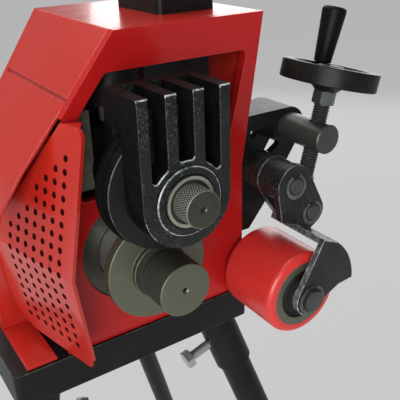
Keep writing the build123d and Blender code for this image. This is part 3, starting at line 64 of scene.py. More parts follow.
def spot(x, y, z):  # millimetres from the spindle and the stop, as a point of the frame
    return np.array((x * mm, stopY + y * mm, spindleZ + z * mm))


# Materials: sizes and depths of patterns are in metres, colours are linear

class Wire:  # a shader socket that can be used in sums
    def __init__(self, tree, socket=None):
        self.tree = tree
        self.socket = socket

    def feed(self, socket, value):  # a link from a wire, or a plain value
        if isinstance(value, Wire):
            self.tree.links.new(value.socket, socket)
        else:
            socket.default_value = value

    def node(self, kind, settings=None, inputs=None, output=0):
        made = self.tree.nodes.new("ShaderNode" + kind)
        for name, value in (settings or {}).items():
            setattr(made, name, value)
        for name, value in (inputs or {}).items():
            self.feed(made.inputs[name], value)
        return Wire(self.tree, made.outputs[output])

    def maths(self, operation, a, b):
        return self.node("Math", {"operation": operation}, {0: a, 1: b})

    def __add__(self, other):
        return self.maths("ADD", self, other)

    def __radd__(self, other):
        return self.maths("ADD", other, self)

    def __sub__(self, other):
        return self.maths("SUBTRACT", self, other)

    def __rsub__(self, other):
        return self.maths("SUBTRACT", other, self)

    def __mul__(self, other):
        return self.maths("MULTIPLY", self, other)

    def __rmul__(self, other):
        return self.maths("MULTIPLY", other, self)

    def band(self, low, high):  # 0 below low, 1 above high
        return self.node("MapRange", {"clamp": True}, {"Value": self, "From Min": low, "From Max": high})

    def noise(self, size, detail=3.0, rough=0.5):
        place = self.node("TexCoord", output="Object")
        return self.node("TexNoise", None, {"Vector": place, "Scale": 1 / size, "Detail": detail, "Roughness": rough})

    def patches(self, low, high, **blotch):  # blotches of noise that start at low and are full at high
        return self.noise(**blotch).band(low, high)

    def attribute(self, name):
        return self.node("Attribute", {"attribute_name": name}, output="Fac")

    def rings(self, size):  # turning marks, by the distance run along a turned piece's profile
        run = self.attribute("run") * (1 / size)
        return self.node("TexNoise", {"noise_dimensions": "1D"}, {"W": run, "Scale": 1.0, "Detail": 2.0})

    def tint(self, factor, first, second):  # from the first colour to the second, the Mix node's sockets 6 and 7
        first, second = (tone if isinstance(tone, Wire) else (*tone, 1.0) for tone in (first, second))
        return self.node("Mix", {"data_type": "RGBA"}, {"Factor": factor, 6: first, 7: second}, output=2)

    def bump(self, height, depth):  # depth for a height of 0 to 1
        return self.node("Bump", None, {"Height": height, "Distance": depth, "Strength": 1.0})


def material(name, build, fixed):  # build(wire) gives what feeds the shader's sockets, fixed their plain values
    made = bpy.data.materials.new(name)
    made.use_nodes = True
    sockets = made.node_tree.nodes["Principled BSDF"].inputs
    wire = Wire(made.node_tree)
    for socket, value in {**fixed, **build(wire)}.items():
        wire.feed(sockets[socket], value)
    return made


# Sprayed paint
redLook = {
    "face": (0.48, 0.020, 0.010), "deep": (0.39, 0.014, 0.008), "cloud": {"size": 0.09, "detail": 4.0},
    "dust": (0.50, 0.11, 0.07), "dustShare": 0.10,
    "dusty": {"size": 0.018, "detail": 6.0, "rough": 0.7, "low": 0.60, "high": 0.85},
    "rough": 0.22, "sheenRough": 0.12, "sheen": {"size": 0.03, "detail": 4.0},
    "peel": {"size": 0.0016, "detail": 1.0}, "peelDepth": 0.00003,
}
# the front plate's red is darker than the covers' as painted shade
shadedPlateLook = {**redLook, "face": (0.45, 0.011, 0.010), "deep": (0.37, 0.008, 0.008)}
blackLook = {
    "face": (0.006, 0.0066, 0.006), "dust": (0.018, 0.0195, 0.0175), "dustShare": 0.5,
    "dusty": {"size": 0.02, "detail": 6.0, "rough": 0.7, "low": 0.45, "high": 0.80},
    "rough": 0.30, "sheenRough": 0.20, "sheen": {"size": 0.012, "detail": 4.0},
    "peel": {"size": 0.0014, "detail": 2.0}, "peelDepth": 0.00006,
}
motorLook = {
    "face": (0.14, 0.15, 0.165), "dust": (0.22, 0.22, 0.215), "dustShare": 0.5,
    "dusty": {"size": 0.03, "detail": 6.0, "rough": 0.7, "low": 0.45, "high": 0.85},
    "rough": 0.38, "sheenRough": 0.2, "sheen": {"size": 0.01, "detail": 4.0},
    "peel": {"size": 0.002, "detail": 2.0}, "peelDepth": 0.00006,
}


def sprayed(look):  # paint, clouded where it has a deep tone, with a film of dust and orange peel
    def build(w):
        face = look["face"]
        if "deep" in look:
            face = w.tint(w.noise(**look["cloud"]), look["deep"], face)
        return {
            "Base Color": w.tint(w.patches(**look["dusty"]) * look["dustShare"], face, look["dust"]),
            "Roughness": w.noise(**look["sheen"]) * look["sheenRough"] + look["rough"],
            "Normal": w.bump(w.noise(**look["peel"]), look["peelDepth"]),
        }
    return build


holeLook = {
    "face": (0.060, 0.005, 0.003), "deep": (0.030, 0.003, 0.002), "cloud": {"size": 0.008, "detail": 4.0},
    "rough": 0.55, "sheenRough": 0.2, "sheen": {"size": 0.004, "detail": 3.0},
}


def holeShade(w):  # painted shade on the walls of the guard's holes
    return {
        "Base Color": w.tint(w.noise(**holeLook["cloud"]), holeLook["deep"], holeLook["face"]),
        "Roughness": w.noise(**holeLook["sheen"]) * holeLook["sheenRough"] + holeLook["rough"],
    }


# Castings
castLook = {
    "face": (0.006, 0.0068, 0.0064), "dust": (0.020, 0.022, 0.020), "dustShare": 0.6,
    "dusty": {"size": 0.012, "detail": 6.0, "rough": 0.7, "low": 0.40, "high": 0.85},
    # the pale bluish tone on the high grains is painted glints of light
    "glint": (0.105, 0.130, 0.130), "glintShare": 0.8, "glintGrain": (0.54, 0.70),
    "glinting": {"size": 0.03, "detail": 3.0, "low": 0.36, "high": 0.62},
    "rough": 0.24, "grainRough": 0.25, "grain": {"size": 0.0013, "detail": 3.0, "rough": 0.6}, "grainDepth": 0.00022,
}
castShadeLook = {  # the same casting, darkened as painted shade
    **castLook, "face": (0.0035, 0.0037, 0.0036), "dust": (0.008, 0.0085, 0.008), "dustShare": 1.0,
    "glintShare": 0.0, "rough": 0.34,
}


def cast(look):  # grainy black, with painted glints of light on the high grains where it has them
    def build(w):
        grain = w.noise(**look["grain"])
        face = w.tint(w.patches(**look["dusty"]) * look["dustShare"], look["face"], look["dust"])
        if look["glintShare"]:
            glint = grain.band(*look["glintGrain"]) * w.patches(**look["glinting"])
            face = w.tint(glint * look["glintShare"], face, look["glint"])
        return {
            "Base Color": face,
            "Roughness": grain * look["grainRough"] + look["rough"],
            "Normal": w.bump(grain, look["grainDepth"]),
        }
    return build


# Finishes that wear in patches; on edges the pale patches are partly painted highlights
# pale edges of black parts: partly wear, partly a painted highlight where edges catch the light
wornAndHighlightLook = {
    "face": (0.03, 0.032, 0.032), "patched": (0.56, 0.60, 0.60), "share": 1.0,
    "patch": {"size": 0.006, "detail": 5.0, "rough": 0.7, "low": 0.36, "high": 0.62},
    "rough": 0.48, "patchedRough": -0.16, "metal": 0.0, "patchedMetal": 0.25,
}
# dimmer pale edges: partly wear, partly a painted highlight
rubbedAndHighlightLook = {
    **wornAndHighlightLook, "face": (0.022, 0.025, 0.025), "patched": (0.22, 0.25, 0.25),
    "patch": {**wornAndHighlightLook["patch"], "low": 0.40, "high": 0.72},
}
# the pale red along edges is a painted highlight, partly wear as well
redEdgeWearAndHighlightLook = {
    "face": (0.47, 0.020, 0.012), "patched": (0.62, 0.11, 0.085), "share": 1.0,
    "patch": {"size": 0.006, "detail": 4.0, "low": 0.35, "high": 0.65}, "rough": 0.30, "patchedRough": -0.05,
}
rubberLook = {
    "face": (0.022, 0.022, 0.022), "patched": (0.070, 0.068, 0.064), "share": 0.6,
    "patch": {"size": 0.012, "detail": 6.0, "rough": 0.7, "low": 0.5, "high": 0.85},
    "rough": 0.62, "patchedRough": 0.2, "grain": {"size": 0.0012, "detail": 3.0}, "grainDepth": 0.00010,
}
plasticLook = {
    "face": (0.006, 0.0062, 0.0055), "patched": (0.013, 0.0135, 0.012), "share": 0.5,
    "patch": {"size": 0.02, "detail": 5.0, "low": 0.45, "high": 0.8},
    "rough": 0.36, "patchedRough": 0.14, "grain": {"size": 0.0009, "detail": 2.0}, "grainDepth": 0.00004,
}
tyreLook = {
    "face": (0.62, 0.030, 0.024), "patched": (0.48, 0.026, 0.022), "share": 0.5,
    "patch": {"size": 0.02, "detail": 6.0, "rough": 0.7, "low": 0.5, "high": 0.85},
    "rough": 0.34, "patchedRough": 0.16, "grain": {"size": 0.006, "detail": 3.0}, "grainDepth": 0.00005,
}
greenLook = {
    "face": (0.012, 0.20, 0.045), "patched": (0.03, 0.26, 0.08), "share": 0.6,
    "patch": {"size": 0.006, "detail": 4.0, "low": 0.4, "high": 0.8},
    "rough": 0.22, "patchedRough": 0.14, "grain": {"size": 0.002, "detail": 2.0}, "grainDepth": 0.00002,
}
signalLook = {**greenLook, "face": (0.48, 0.012, 0.012), "patched": (0.55, 0.04, 0.03)}
springLook = {
    "face": (0.17, 0.18, 0.165), "patched": (0.060, 0.065, 0.060), "share": 1.0,
    "patch": {"size": 0.006, "detail": 5.0, "low": 0.35, "high": 0.75},
    "rough": 0.30, "patchedRough": 0.15, "metal": 0.7, "patchedMetal": -0.3,
    "grain": {"size": 0.002, "detail": 2.0}, "grainDepth": 0.00002,
}
# the bearing cap's steel, darker than the circlips' as painted shade
shadedCapLook = {**springLook, "face": (0.080, 0.083, 0.068), "patched": (0.040, 0.042, 0.034)}
railLook = {  # ground rails under a film of oil
    "face": (0.22, 0.21, 0.165), "patched": (0.11, 0.105, 0.08), "share": 1.0,
    "patch": {"size": 0.012, "detail": 5.0, "low": 0.35, "high": 0.75},
    "rough": 0.38, "patchedRough": 0.12, "metal": 0.4, "patchedMetal": -0.2,
    "grain": {"size": 0.003, "detail": 2.0}, "grainDepth": 0.00003,
}


def patched(look):  # rubbed, scuffed or stained to a second tone, which has its own shine; on edges that tone is partly a painted highlight
    def build(w):
        patch = w.patches(**look["patch"])
        sockets = {
            "Base Color": w.tint(patch * look["share"], look["face"], look["patched"]),
            "Roughness": look["rough"] + patch * look["patchedRough"],
        }
        if "metal" in look:
            sockets["Metallic"] = look["metal"] + patch * look["patchedMetal"]
        if "grain" in look:
            sockets["Normal"] = w.bump(w.noise(**look["grain"]), look["grainDepth"])
        return sockets
    return build


# Turned steel
rollLook = {  # phosphated tool steel
    "face": (0.150, 0.157, 0.114), "stain": (0.086, 0.090, 0.066), "stainShare": 0.6,
    "stained": {"size": 0.010, "detail": 5.0, "rough": 0.65, "low": 0.35, "high": 0.80},
    "land": (0.050, 0.050, 0.038), "landShare": 0.6, "grimeAndShade": (0.010, 0.010, 0.008), "grimeAndShadeShare": 1.0,
    "rough": 0.36, "ringRough": 0.12, "pitRough": 0.3, "metal": 0.75, "stainDull": 0.25, "pitDull": 0.8,
    "ring": 0.00035, "ringDepth": 0.000012,
}
gunLook = {  # blackened steel of the stabilizer's pins and screw
    "face": (0.078, 0.087, 0.078), "stain": (0.034, 0.038, 0.034), "stainShare": 0.7,
    "stained": {"size": 0.009, "detail": 5.0, "low": 0.35, "high": 0.75},
    "grimeAndShade": (0.006, 0.006, 0.006), "grimeAndShadeShare": 0.9,
    "rough": 0.32, "ringRough": 0.10, "pitRough": 0.2, "metal": 0.6, "stainDull": 0.2, "pitDull": 0.8,
    "ring": 0.0004, "ringDepth": 0.00001,
}
darkRollLook = {  # near-black steel of the groove roll, far darker than the drive roll
    "face": (0.018, 0.020, 0.018), "stain": (0.010, 0.011, 0.010), "stainShare": 1.0,
    "stained": {"size": 0.014, "detail": 5.0, "low": 0.35, "high": 0.75},
    "rough": 0.34, "ringRough": 0.10, "metal": 0.5, "stainDull": 0.2, "ring": 0.0005, "ringDepth": 0.00001,
}


def machined(look):  # stained steel with turning marks; grime and painted shade fill what the pit attribute marks as deep
    def build(w):
        rings = w.rings(look["ring"])
        stain = w.patches(**look["stained"])
        face = w.tint(stain * look["stainShare"], look["face"], look["stain"])
        rough = rings * look["ringRough"] + look["rough"]
        metal = look["metal"] - stain * look["stainDull"]
        if "land" in look:
            face = w.tint(w.attribute("knurled") * look["landShare"], face, look["land"])
        if "grimeAndShade" in look:
            pit = w.attribute("pit")
            face = w.tint(pit * look["grimeAndShadeShare"], face, look["grimeAndShade"])
            rough = rough + pit * look["pitRough"]
            metal = metal * (1.0 - pit * look["pitDull"])
        return {"Base Color": face, "Roughness": rough, "Metallic": metal, "Normal": w.bump(rings, look["ringDepth"])}
    return build


brightLook = {
    "face": (0.48, 0.48, 0.46), "stain": (0.30, 0.30, 0.28), "stainShare": 0.5,
    "stained": {"size": 0.008, "detail": 5.0, "low": 0.4, "high": 0.8},
    "rough": 0.28, "sheenRough": 0.15, "sheen": {"size": 0.004, "detail": 4.0},
    "metal": 0.85, "stainDull": 0.2, "ring": 0.0003, "ringDepth": 0.00001,
}


def brightSteel(w):
    stain = w.patches(**brightLook["stained"])
    return {
        "Base Color": w.tint(stain * brightLook["stainShare"], brightLook["face"], brightLook["stain"]),
        "Roughness": w.noise(**brightLook["sheen"]) * brightLook["sheenRough"] + brightLook["rough"],
        "Metallic": brightLook["metal"] - stain * brightLook["stainDull"],
        "Normal": w.bump(w.rings(brightLook["ring"]), brightLook["ringDepth"]),
    }


shaftLook = {
    "face": (0.060, 0.060, 0.046), "stain": (0.036, 0.036, 0.028), "tip": (0.42, 0.42, 0.37),
    "stained": {"size": 0.006, "detail": 5.0, "rough": 0.65, "low": 0.35, "high": 0.80},
    "grimeAndShade": (0.006, 0.006, 0.005), "grimeAndShadeShare": 0.85, "rough": 0.40, "pitRough": 0.3,
    "metal": 0.6, "stainDull": 0.2, "pitDull": 0.4, "ring": 0.0004, "ringDepth": 0.00001,
}


def shaftSteel(w):  # browned shaft whose knurl's tips are pale: partly rubbed metal, partly a painted highlight
    stain = w.patches(**shaftLook["stained"])
    pit = w.attribute("pit")
    rub = w.attribute("knurled") * (1.0 - pit)
    face = w.tint(rub, w.tint(stain, shaftLook["face"], shaftLook["stain"]), shaftLook["tip"])
    return {
        "Base Color": w.tint(pit * shaftLook["grimeAndShadeShare"], face, shaftLook["grimeAndShade"]),
        "Roughness": shaftLook["rough"] + pit * shaftLook["pitRough"],
        "Metallic": shaftLook["metal"] - stain * shaftLook["stainDull"] - pit * shaftLook["pitDull"],
        "Normal": w.bump(w.rings(shaftLook["ring"]), shaftLook["ringDepth"]),
    }


bushLook = {
    "face": (0.30, 0.29, 0.235), "stain": (0.16, 0.15, 0.12), "stainShare": 0.6, "grimeAndShade": (0.006, 0.006, 0.006),
    "stained": {"size": 0.005, "detail": 5.0, "low": 0.45, "high": 0.80}, "rough": 0.46, "stainRough": 0.12,
    "metal": 0.35, "stainDull": 0.2, "ring": 0.0004, "ringDepth": 0.00001,
}


def paleBush(w):  # sintered bush, with painted shade round its rim
    stain = w.patches(**bushLook["stained"])
    face = w.tint(stain * bushLook["stainShare"], bushLook["face"], bushLook["stain"])
    return {
        "Base Color": w.tint(w.attribute("pit"), face, bushLook["grimeAndShade"]),
        "Roughness": bushLook["rough"] + stain * bushLook["stainRough"],
        "Metallic": bushLook["metal"] - stain * bushLook["stainDull"],
        "Normal": w.bump(w.rings(bushLook["ring"]), bushLook["ringDepth"]),
    }


recipes = {
    "redPaint": (sprayed(redLook), {"Coat Weight": 0.35, "Coat Roughness": 0.10}),
    "redPlateShaded": (sprayed(shadedPlateLook), {"Specular IOR Level": 0.25, "Coat Weight": 0.12, "Coat Roughness": 0.12}),
    "redEdgeWearAndHighlight": (patched(redEdgeWearAndHighlightLook), {"Coat Weight": 0.4, "Coat Roughness": 0.1}),
    "holeShade": (holeShade, {"Specular IOR Level": 0.1}),
    "blackPaint": (sprayed(blackLook), {"Specular IOR Level": 0.18}),
    "motorPaint": (sprayed(motorLook), {}),
    "castBlack": (cast(castLook), {"Specular IOR Level": 0.32}),
    "castShade": (cast(castShadeLook), {"Specular IOR Level": 0.03}),
    "wornEdgeAndHighlight": (patched(wornAndHighlightLook), {}),
    "rubbedEdgeAndHighlight": (patched(rubbedAndHighlightLook), {}),
    "rollSteel": (machined(rollLook), {}),
    "gunSteel": (machined(gunLook), {}),
    "darkRoll": (machined(darkRollLook), {"Specular IOR Level": 0.25}),
    "brightSteel": (brightSteel, {}),
    "shaftSteel": (shaftSteel, {}),
    "springSteel": (patched(springLook), {}),
    "capSteelShaded": (patched(shadedCapLook), {}),
    "railSteel": (patched(railLook), {}),
    "paleBush": (paleBush, {}),
    "blackRubber": (patched(rubberLook), {}),
    "blackPlastic": (patched(plasticLook), {"Specular IOR Level": 0.08}),
    "redTyre": (patched(tyreLook), {"Coat Weight": 0.12, "Coat Roughness": 0.2}),
    "greenCap": (patched(greenLook), {}),
    "redCap": (patched(signalLook), {}),
}
finishes = {name: material(name, build, fixed) for name, (build, fixed) in recipes.items()}
slotFinish = {
    "red_paint": "redPaint", "black_paint": "blackPaint", "black_casting": "castBlack", "roll_steel": "rollSteel",
    "bright_steel": "brightSteel", "dark_steel": "gunSteel", "motor_paint": "motorPaint",
    "black_rubber": "blackRubber", "black_plastic": "blackPlastic", "red_urethane": "redTyre",
    "green_button": "greenCap", "red_button": "redCap",
}
ownFinish = {  # nodes that differ from the rest of their slot
    "guide_rails": "railSteel", "bearing_cap": "capSteelShaded", "front_plate": "redPlateShaded", "upper_roll": "darkRoll",
    "upper_shaft": "shaftSteel", "carriage_bushes": "paleBush", "circlips": "springSteel",
}


def finishOf(node):
    return finishes[ownFinish.get(node, slotFinish[slotOf[node]])]


for name, node in nodes.items():
    for slot in node.material_slots:
        slot.material = finishOf(name)
    if not node.material_slots:
        node.data.materials.append(finishOf(name))
print("materials on", len(nodes), "nodes")


# Pieces: sizes in millimetres, angles in degrees

def piece(name, mesh, node, *more):  # a new piece that stands for a CAD node; more names its further finishes
    for finish in (finishOf(node), *(finishes[one] for one in more)):
        mesh.materials.append(finish)
    obj = bpy.data.objects.new(name, mesh)
    bpy.context.scene.collection.objects.link(obj)
    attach(obj, bodyOf[node])
    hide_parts(node)
    return obj


easing = {"merge": 0.005, "flat": 0.5, "sharp": 32.0, "segments": 2}


def eased(node, width, edge, wide=None, narrow=1.0, other=None, shade=None, clamp=True):
    # a copy of a node with its outward edges rounded, the rounding in a finish of its own: the full width where
    # wide(line) says so and narrow times it elsewhere; other(face) is 0 for the node's finish, 1 edge, 2 shade
    mesh = nodes[node].data.copy()
    mesh.materials.clear()
    work = bmesh.new()
    work.from_mesh(mesh)
    bmesh.ops.remove_doubles(work, verts=work.verts, dist=easing["merge"] * mm)
    bmesh.ops.dissolve_limit(work, angle_limit=math.radians(easing["flat"]), verts=work.verts, edges=work.edges)
    weight = work.edges.layers.float.new("bevel_weight_edge")
    for line in work.edges:
        bent = line.calc_face_angle(0.0) > math.radians(easing["sharp"])
        line.smooth = not bent
        line[weight] = (1.0 if wide is None or wide(line) else narrow) * (bent and line.is_convex)
    for face in work.faces:
        face.smooth = True
        face.material_index = other(face) if other else 0
    work.to_mesh(mesh)
    work.free()
    bevel = piece("eased_" + node, mesh, node, edge, shade or edge).modifiers.new("round", "BEVEL")
    bevel.width = width * mm
    bevel.segments = easing["segments"]
    bevel.limit_method = "WEIGHT"
    bevel.use_clamp_overlap = clamp
    bevel.harden_normals = True
    bevel.material = 1


window = {"left": -62.0, "right": 108.0, "low": -4.0, "high": 172.0}  # round the front plate's window
bracketTop = 90.0  # the bracket's upper edges are above this
guardHole = {"facet": 4e-6, "top": 115.0}  # facets in square metres, below the guard's upper edge
# The fins and the boss end before front; forward, tilted and up are limits of a face's normal
carriageFins = {"front": -45.0, "forward": -0.7, "tilted": -0.2, "up": 0.25, "boreZ": 82.0, "boreR": 23.0}
yokeSheet = 0.5  # a face that looks less than this to the front or rear is a cut edge or the web


def middleOf(line):  # a line's middle in millimetres: across, and up from the spindle
    middle = (line.verts[0].co + line.verts[1].co) / 2
    return middle.x / mm, (middle.z - spindleZ) / mm


def roundWindow(line):
    x, z = middleOf(line)
    return window["left"] < x < window["right"] and window["low"] < z < window["high"]


def overBracket(line):
    return min(end.co.z for end in line.verts) > spindleZ + bracketTop * mm


def insideHole(face):  # the narrow faces round the guard's holes
    low = face.calc_center_median().z < spindleZ + guardHole["top"] * mm
    return 2 * (face.calc_area() < guardHole["facet"] and low)


def carriageFront(line):  # the edges of the carriage's forward faces, but not the bore's
    near = max(end.co.y for end in line.verts) < stopY + carriageFins["front"] * mm
    x, z = middleOf(line)
    clear = math.hypot(x, z - carriageFins["boreZ"]) > carriageFins["boreR"]
    return near and clear and any(face.normal.y < carriageFins["forward"] for face in line.link_faces)


def carriageLitAndShaded(face):  # fins' rims that look up take the worn edges' pale finish, partly as a painted highlight; faces that don't look forward take painted shade
    if face.normal.y < carriageFins["tilted"] and face.normal.z > carriageFins["up"]:
        return 1
    return 2 * (face.normal.y > carriageFins["forward"])


# cut edges and the web take the rubbed edges' pale finish: wear and a painted highlight
def sheetEdge(face):
    return 2 * (abs(face.normal.y) < yokeSheet)


easedEdges = {
    "front_plate": {"width": 3.0, "edge": "redEdgeWearAndHighlight", "wide": roundWindow, "narrow": 0.5},
    "head_cover": {"width": 0.7, "edge": "redEdgeWearAndHighlight"},
    "left_cover": {"width": 0.7, "edge": "redPaint"},
    "guard": {"width": 0.4, "edge": "redEdgeWearAndHighlight", "other": insideHole, "shade": "holeShade"},
    "carriage": {"width": 1.0, "edge": "wornEdgeAndHighlight", "wide": carriageFront, "narrow": 0.0,
                 "other": carriageLitAndShaded, "shade": "castShade", "clamp": False},
    "stabilizer_bracket": {"width": 4.0, "edge": "rubbedEdgeAndHighlight", "wide": overBracket, "narrow": 0.25},
    "stabilizer_arm": {"width": 0.7, "edge": "rubbedEdgeAndHighlight"},
    "stabilizer_yoke": {"width": 0.6, "edge": "wornEdgeAndHighlight", "other": sheetEdge, "shade": "rubbedEdgeAndHighlight"},
    "base_tray": {"width": 1.5, "edge": "rubbedEdgeAndHighlight"},
}
for node, choice in easedEdges.items():
    eased(node, **choice)
print("eased", len(easedEdges), "nodes")


def rounded(corners, steps=4):  # profile of (along, radius, fillet) corners, each fillet an arc of a few steps
    points = np.array([corner[:2] for corner in corners], float)
    line = []
    for i, (place, fillet) in enumerate(zip(points, [corner[2] for corner in corners])):
        if fillet == 0 or i in (0, len(points) - 1):
            line.append(place[None])
            continue
        before = (points[i - 1] - place) / np.linalg.norm(points[i - 1] - place)
        after = (points[i + 1] - place) / np.linalg.norm(points[i + 1] - place)
        half = math.acos(np.clip(before @ after, -1, 1)) / 2
        centre = place + (before + after) / np.linalg.norm(before + after) * fillet / math.sin(half)
        first = place + before * fillet / math.tan(half) - centre
        last = place + after * fillet / math.tan(half) - centre
        t = np.linspace(0, 1, steps + 1)[:, None]
        arc = first * (1 - t) + last * t  # chord points pushed out to the fillet's radius
        line.append(centre + arc / np.linalg.norm(arc, axis=1)[:, None] * fillet)
    return np.concatenate(line)


def split(profile, longest, low, high):  # extra points on runs along the axis, between low and high, over longest
    runs = []
    for a, b in zip(profile, profile[1:]):
        inside = low <= a[0] < b[0] <= high
        runs.append(np.linspace(a, b, int((b[0] - a[0]) / longest) + 2)[:-1] if inside else a[None])
    return np.concatenate(runs + [profile[-1:]])


def gridMesh(name, points, caps=()):  # rows of points as rows of quads, each row closed on itself
    rows, columns = points.shape[:2]
    i = np.arange(rows - 1)[:, None] * columns
    j = np.arange(columns)[None]
    k = (j + 1) % columns
    quads = np.stack([i + j, i + k, i + columns + k, i + columns + j], -1).reshape(-1, 4)
    mesh = bpy.data.meshes.new(name)
    mesh.from_pydata(points.reshape(-1, 3), [], [*quads.tolist(), *caps])
    return mesh


mergeWithin = 0.0005


def closed(mesh, sharp=None):  # poles merged and faces turned outwards; smooth up to a sharp angle, if one is given
    work = bmesh.new()
    work.from_mesh(mesh)
    bmesh.ops.remove_doubles(work, verts=work.verts, dist=mergeWithin * mm)
    bmesh.ops.dissolve_degenerate(work, edges=work.edges, dist=mergeWithin * mm)
    bmesh.ops.recalc_face_normals(work, faces=work.faces)
    work.to_mesh(mesh)
    work.free()
    if sharp:
        mesh.shade_smooth()
        mesh.set_sharp_from_angle(angle=math.radians(sharp))
    return mesh


def joined(name, meshes):  # several meshes as one
    work = bmesh.new()
    for mesh in meshes:
        work.from_mesh(mesh)
    whole = bpy.data.meshes.new(name)
    work.to_mesh(whole)
    work.free()
    return whole


turnedSharp = 40.0


def turned(name, profile, start, along, turns=128, relief=None, grimeAndShade=None, rub=None):
    # radius r at distance s along the axis, swept round: start + s along + r (cos a, sin a), plus relief(s, a) on r;
    # the shade function of (s, r) gives painted shade and rub(s, r) bare metal, each of 0 to 1, beside the grime and
    # painted shade of what the relief cuts
    profile = np.asarray(profile, float) * mm
    along = np.asarray(along, float)
    across = np.cross(along, (0, 0, 1) if abs(along[2]) < 0.5 else (0, 1, 0))
    across /= np.linalg.norm(across)
    third = np.cross(along, across)
    s = profile[:, :1]
    r = profile[:, 1:]
    a = np.linspace(0, 2 * math.pi, turns, endpoint=False)[None]
    cut = relief(s, a) if relief else 0 * s * a
    full = r + cut
    spoke = np.cos(a)[..., None] * across + np.sin(a)[..., None] * third
    mesh = gridMesh(name, start + s[..., None] * along + full[..., None] * spoke)
    run = np.concatenate([[0], np.cumsum(np.linalg.norm(np.diff(profile, axis=0), axis=1))])
    pit = cut / cut.min() if relief else 0 * full
    if grimeAndShade:
        pit = np.maximum(pit, grimeAndShade(s / mm, r / mm))
    bare = (cut.min(axis=1, keepdims=True) < 0) + 0 * full
    if rub:
        bare = np.maximum(bare, rub(s / mm, r / mm))
    for label, values in (("run", run[:, None] + 0 * full), ("pit", pit), ("knurled", bare)):
        mesh.attributes.new(label, "FLOAT", "POINT").data.foreach_set("value", values.ravel())
    return closed(mesh, turnedSharp)


def knurl(low, high, teeth, row, deep, lean=0.0):
    # a cut of deep times (1 - tooth times cross) between low and high: tooth is the sine of the teeth round the land,
    # cross the root of the sine of the rows along it; with a lean, both are sines of teeth on crossed helices
    def relief(s, a):
        along = (s - low * mm) * math.pi / (row * mm)
        tooth = np.abs(np.sin(a * teeth / 2 + along * lean))
        cross = np.abs(np.sin(a * teeth / 2 - along * lean)) if lean else np.abs(np.sin(along)) ** 0.5
        inside = (s > low * mm) & (s < high * mm)
        return -deep * mm * (1 - tooth * cross) * inside
    return relief


# Rolls: a rim, a lip or painted shade given as a pair is so wide along the axis and so wide across it
touch = 0.01  # lets a limit take in the points that lie on it
centreHole = {"r": 3.0, "deep": 5.0, "tipR": 1.2, "coneR": 1.8, "edge": 0.2}


def drilled(end, cone):  # corners of a centre hole in a shaft's end, with a cone of that depth at its mouth
    floor = end + centreHole["deep"]
    return [(floor, 0, 0), (floor, centreHole["tipR"], 0), (end + cone, centreHole["coneR"], 0),
            (end, centreHole["r"], centreHole["edge"])]


driveRoll = {
    "front": -42.9, "cone": 1.2, "landR": 23.0, "groove": (-14.0, -5.0), "grooveR": 19.0, "stopR": 25.3,
    "flangeR": 46.4, "shankR": 16.0, "shank": 70.0, "turns": 336, "landStep": 0.42, "stopStep": 0.8,
    "knurlEnds": (1.2, 0.6), "teeth": 84, "row": 1.7, "deep": 0.35, "paintedShade": 0.85, "paintedShadeEnd": -0.5, "paintedShadeRow": 1.0,
    "rim": (0.8, 0.7),
}
d = driveRoll
grooveFront, grooveRear = d["groove"]
profile = rounded([
    *drilled(d["front"], d["cone"]), (d["front"], d["landR"], 0.9),
    (grooveFront, d["landR"], 0.4), (grooveFront, d["grooveR"], 0.6), (grooveRear, d["grooveR"], 0.6),
    (grooveRear, d["stopR"] - d["paintedShadeRow"], 0), (grooveRear, d["stopR"], 0.6), (0, d["stopR"], 0.4),
    (0, d["flangeR"], 1.0), (flangeThick, d["flangeR"], 1.0), (flangeThick, d["shankR"], 0),
    (d["shank"], d["shankR"], 0), (d["shank"], 0, 0)])
profile = split(profile, d["landStep"], d["front"], grooveFront)
profile = split(profile, d["stopStep"], grooveRear, 0.0)


def grooveShade(s, r):  # painted shade in the groove and round the shoulder, all but the shoulder's front rim
    rim = (s < grooveRear + d["rim"][0]) & (r > d["stopR"] - d["rim"][1])
    return d["paintedShade"] * (s > grooveFront) * (s < d["paintedShadeEnd"]) * ~rim


land = knurl(d["front"] + d["knurlEnds"][0], grooveFront - d["knurlEnds"][1], d["teeth"], d["row"], d["deep"])
piece("driveRoll", turned("driveRoll", profile, spot(0, 0, 0), back, d["turns"], land, grooveShade), "drive_roll")

upperRoll = {
    "axis": 82.0, "front": -24.5, "rear": -1.0, "r": 50.3, "ridgeR": 52.2, "ridge": (-13.5, -5.5), "hubR": 20.0,
    "hub": (-26.2, 11.2), "bore": 17.0, "turns": 160, "lip": (1.0, 0.3),
}
u = upperRoll
upperAxis = spot(0, 0, u["axis"])
hubFront, hubRear = u["hub"]
ridgeFront, ridgeRear = u["ridge"]
profile = rounded([
    (hubFront, u["bore"], 0), (hubFront, u["hubR"], 0.4), (u["front"], u["hubR"], 0.3), (u["front"], u["r"], 1.0),
    (ridgeFront, u["r"], 0.3), (ridgeFront, u["ridgeR"], 0.8), (ridgeRear, u["ridgeR"], 0.8), (ridgeRear, u["r"], 0.3),
    (u["rear"], u["r"], 1.0), (u["rear"], u["hubR"], 0.3), (hubRear, u["hubR"], 0.4), (hubRear, u["bore"], 0),
    (hubFront, u["bore"], 0)])
rollMesh = turned("upperRoll", profile, upperAxis, back, u["turns"])
middles = np.empty(3 * len(rollMesh.polygons))
rollMesh.polygons.foreach_get("center", middles)
behind = middles[1::3] > spot(0, u["front"] + u["lip"][0], 0)[1]  # painted shade on the rim, behind the front edge
reach = np.hypot(middles[0::3], middles[2::3] - upperAxis[2])
lip = ~behind & (reach > (u["r"] - u["lip"][1]) * mm)  # a painted highlight along the front edge, in the rubbed edges' pale finish
rollMesh.polygons.foreach_set("material_index", behind.astype(int) + 2 * lip)
piece("upperRoll", rollMesh, "upper_roll", "castShade", "rubbedEdgeAndHighlight")

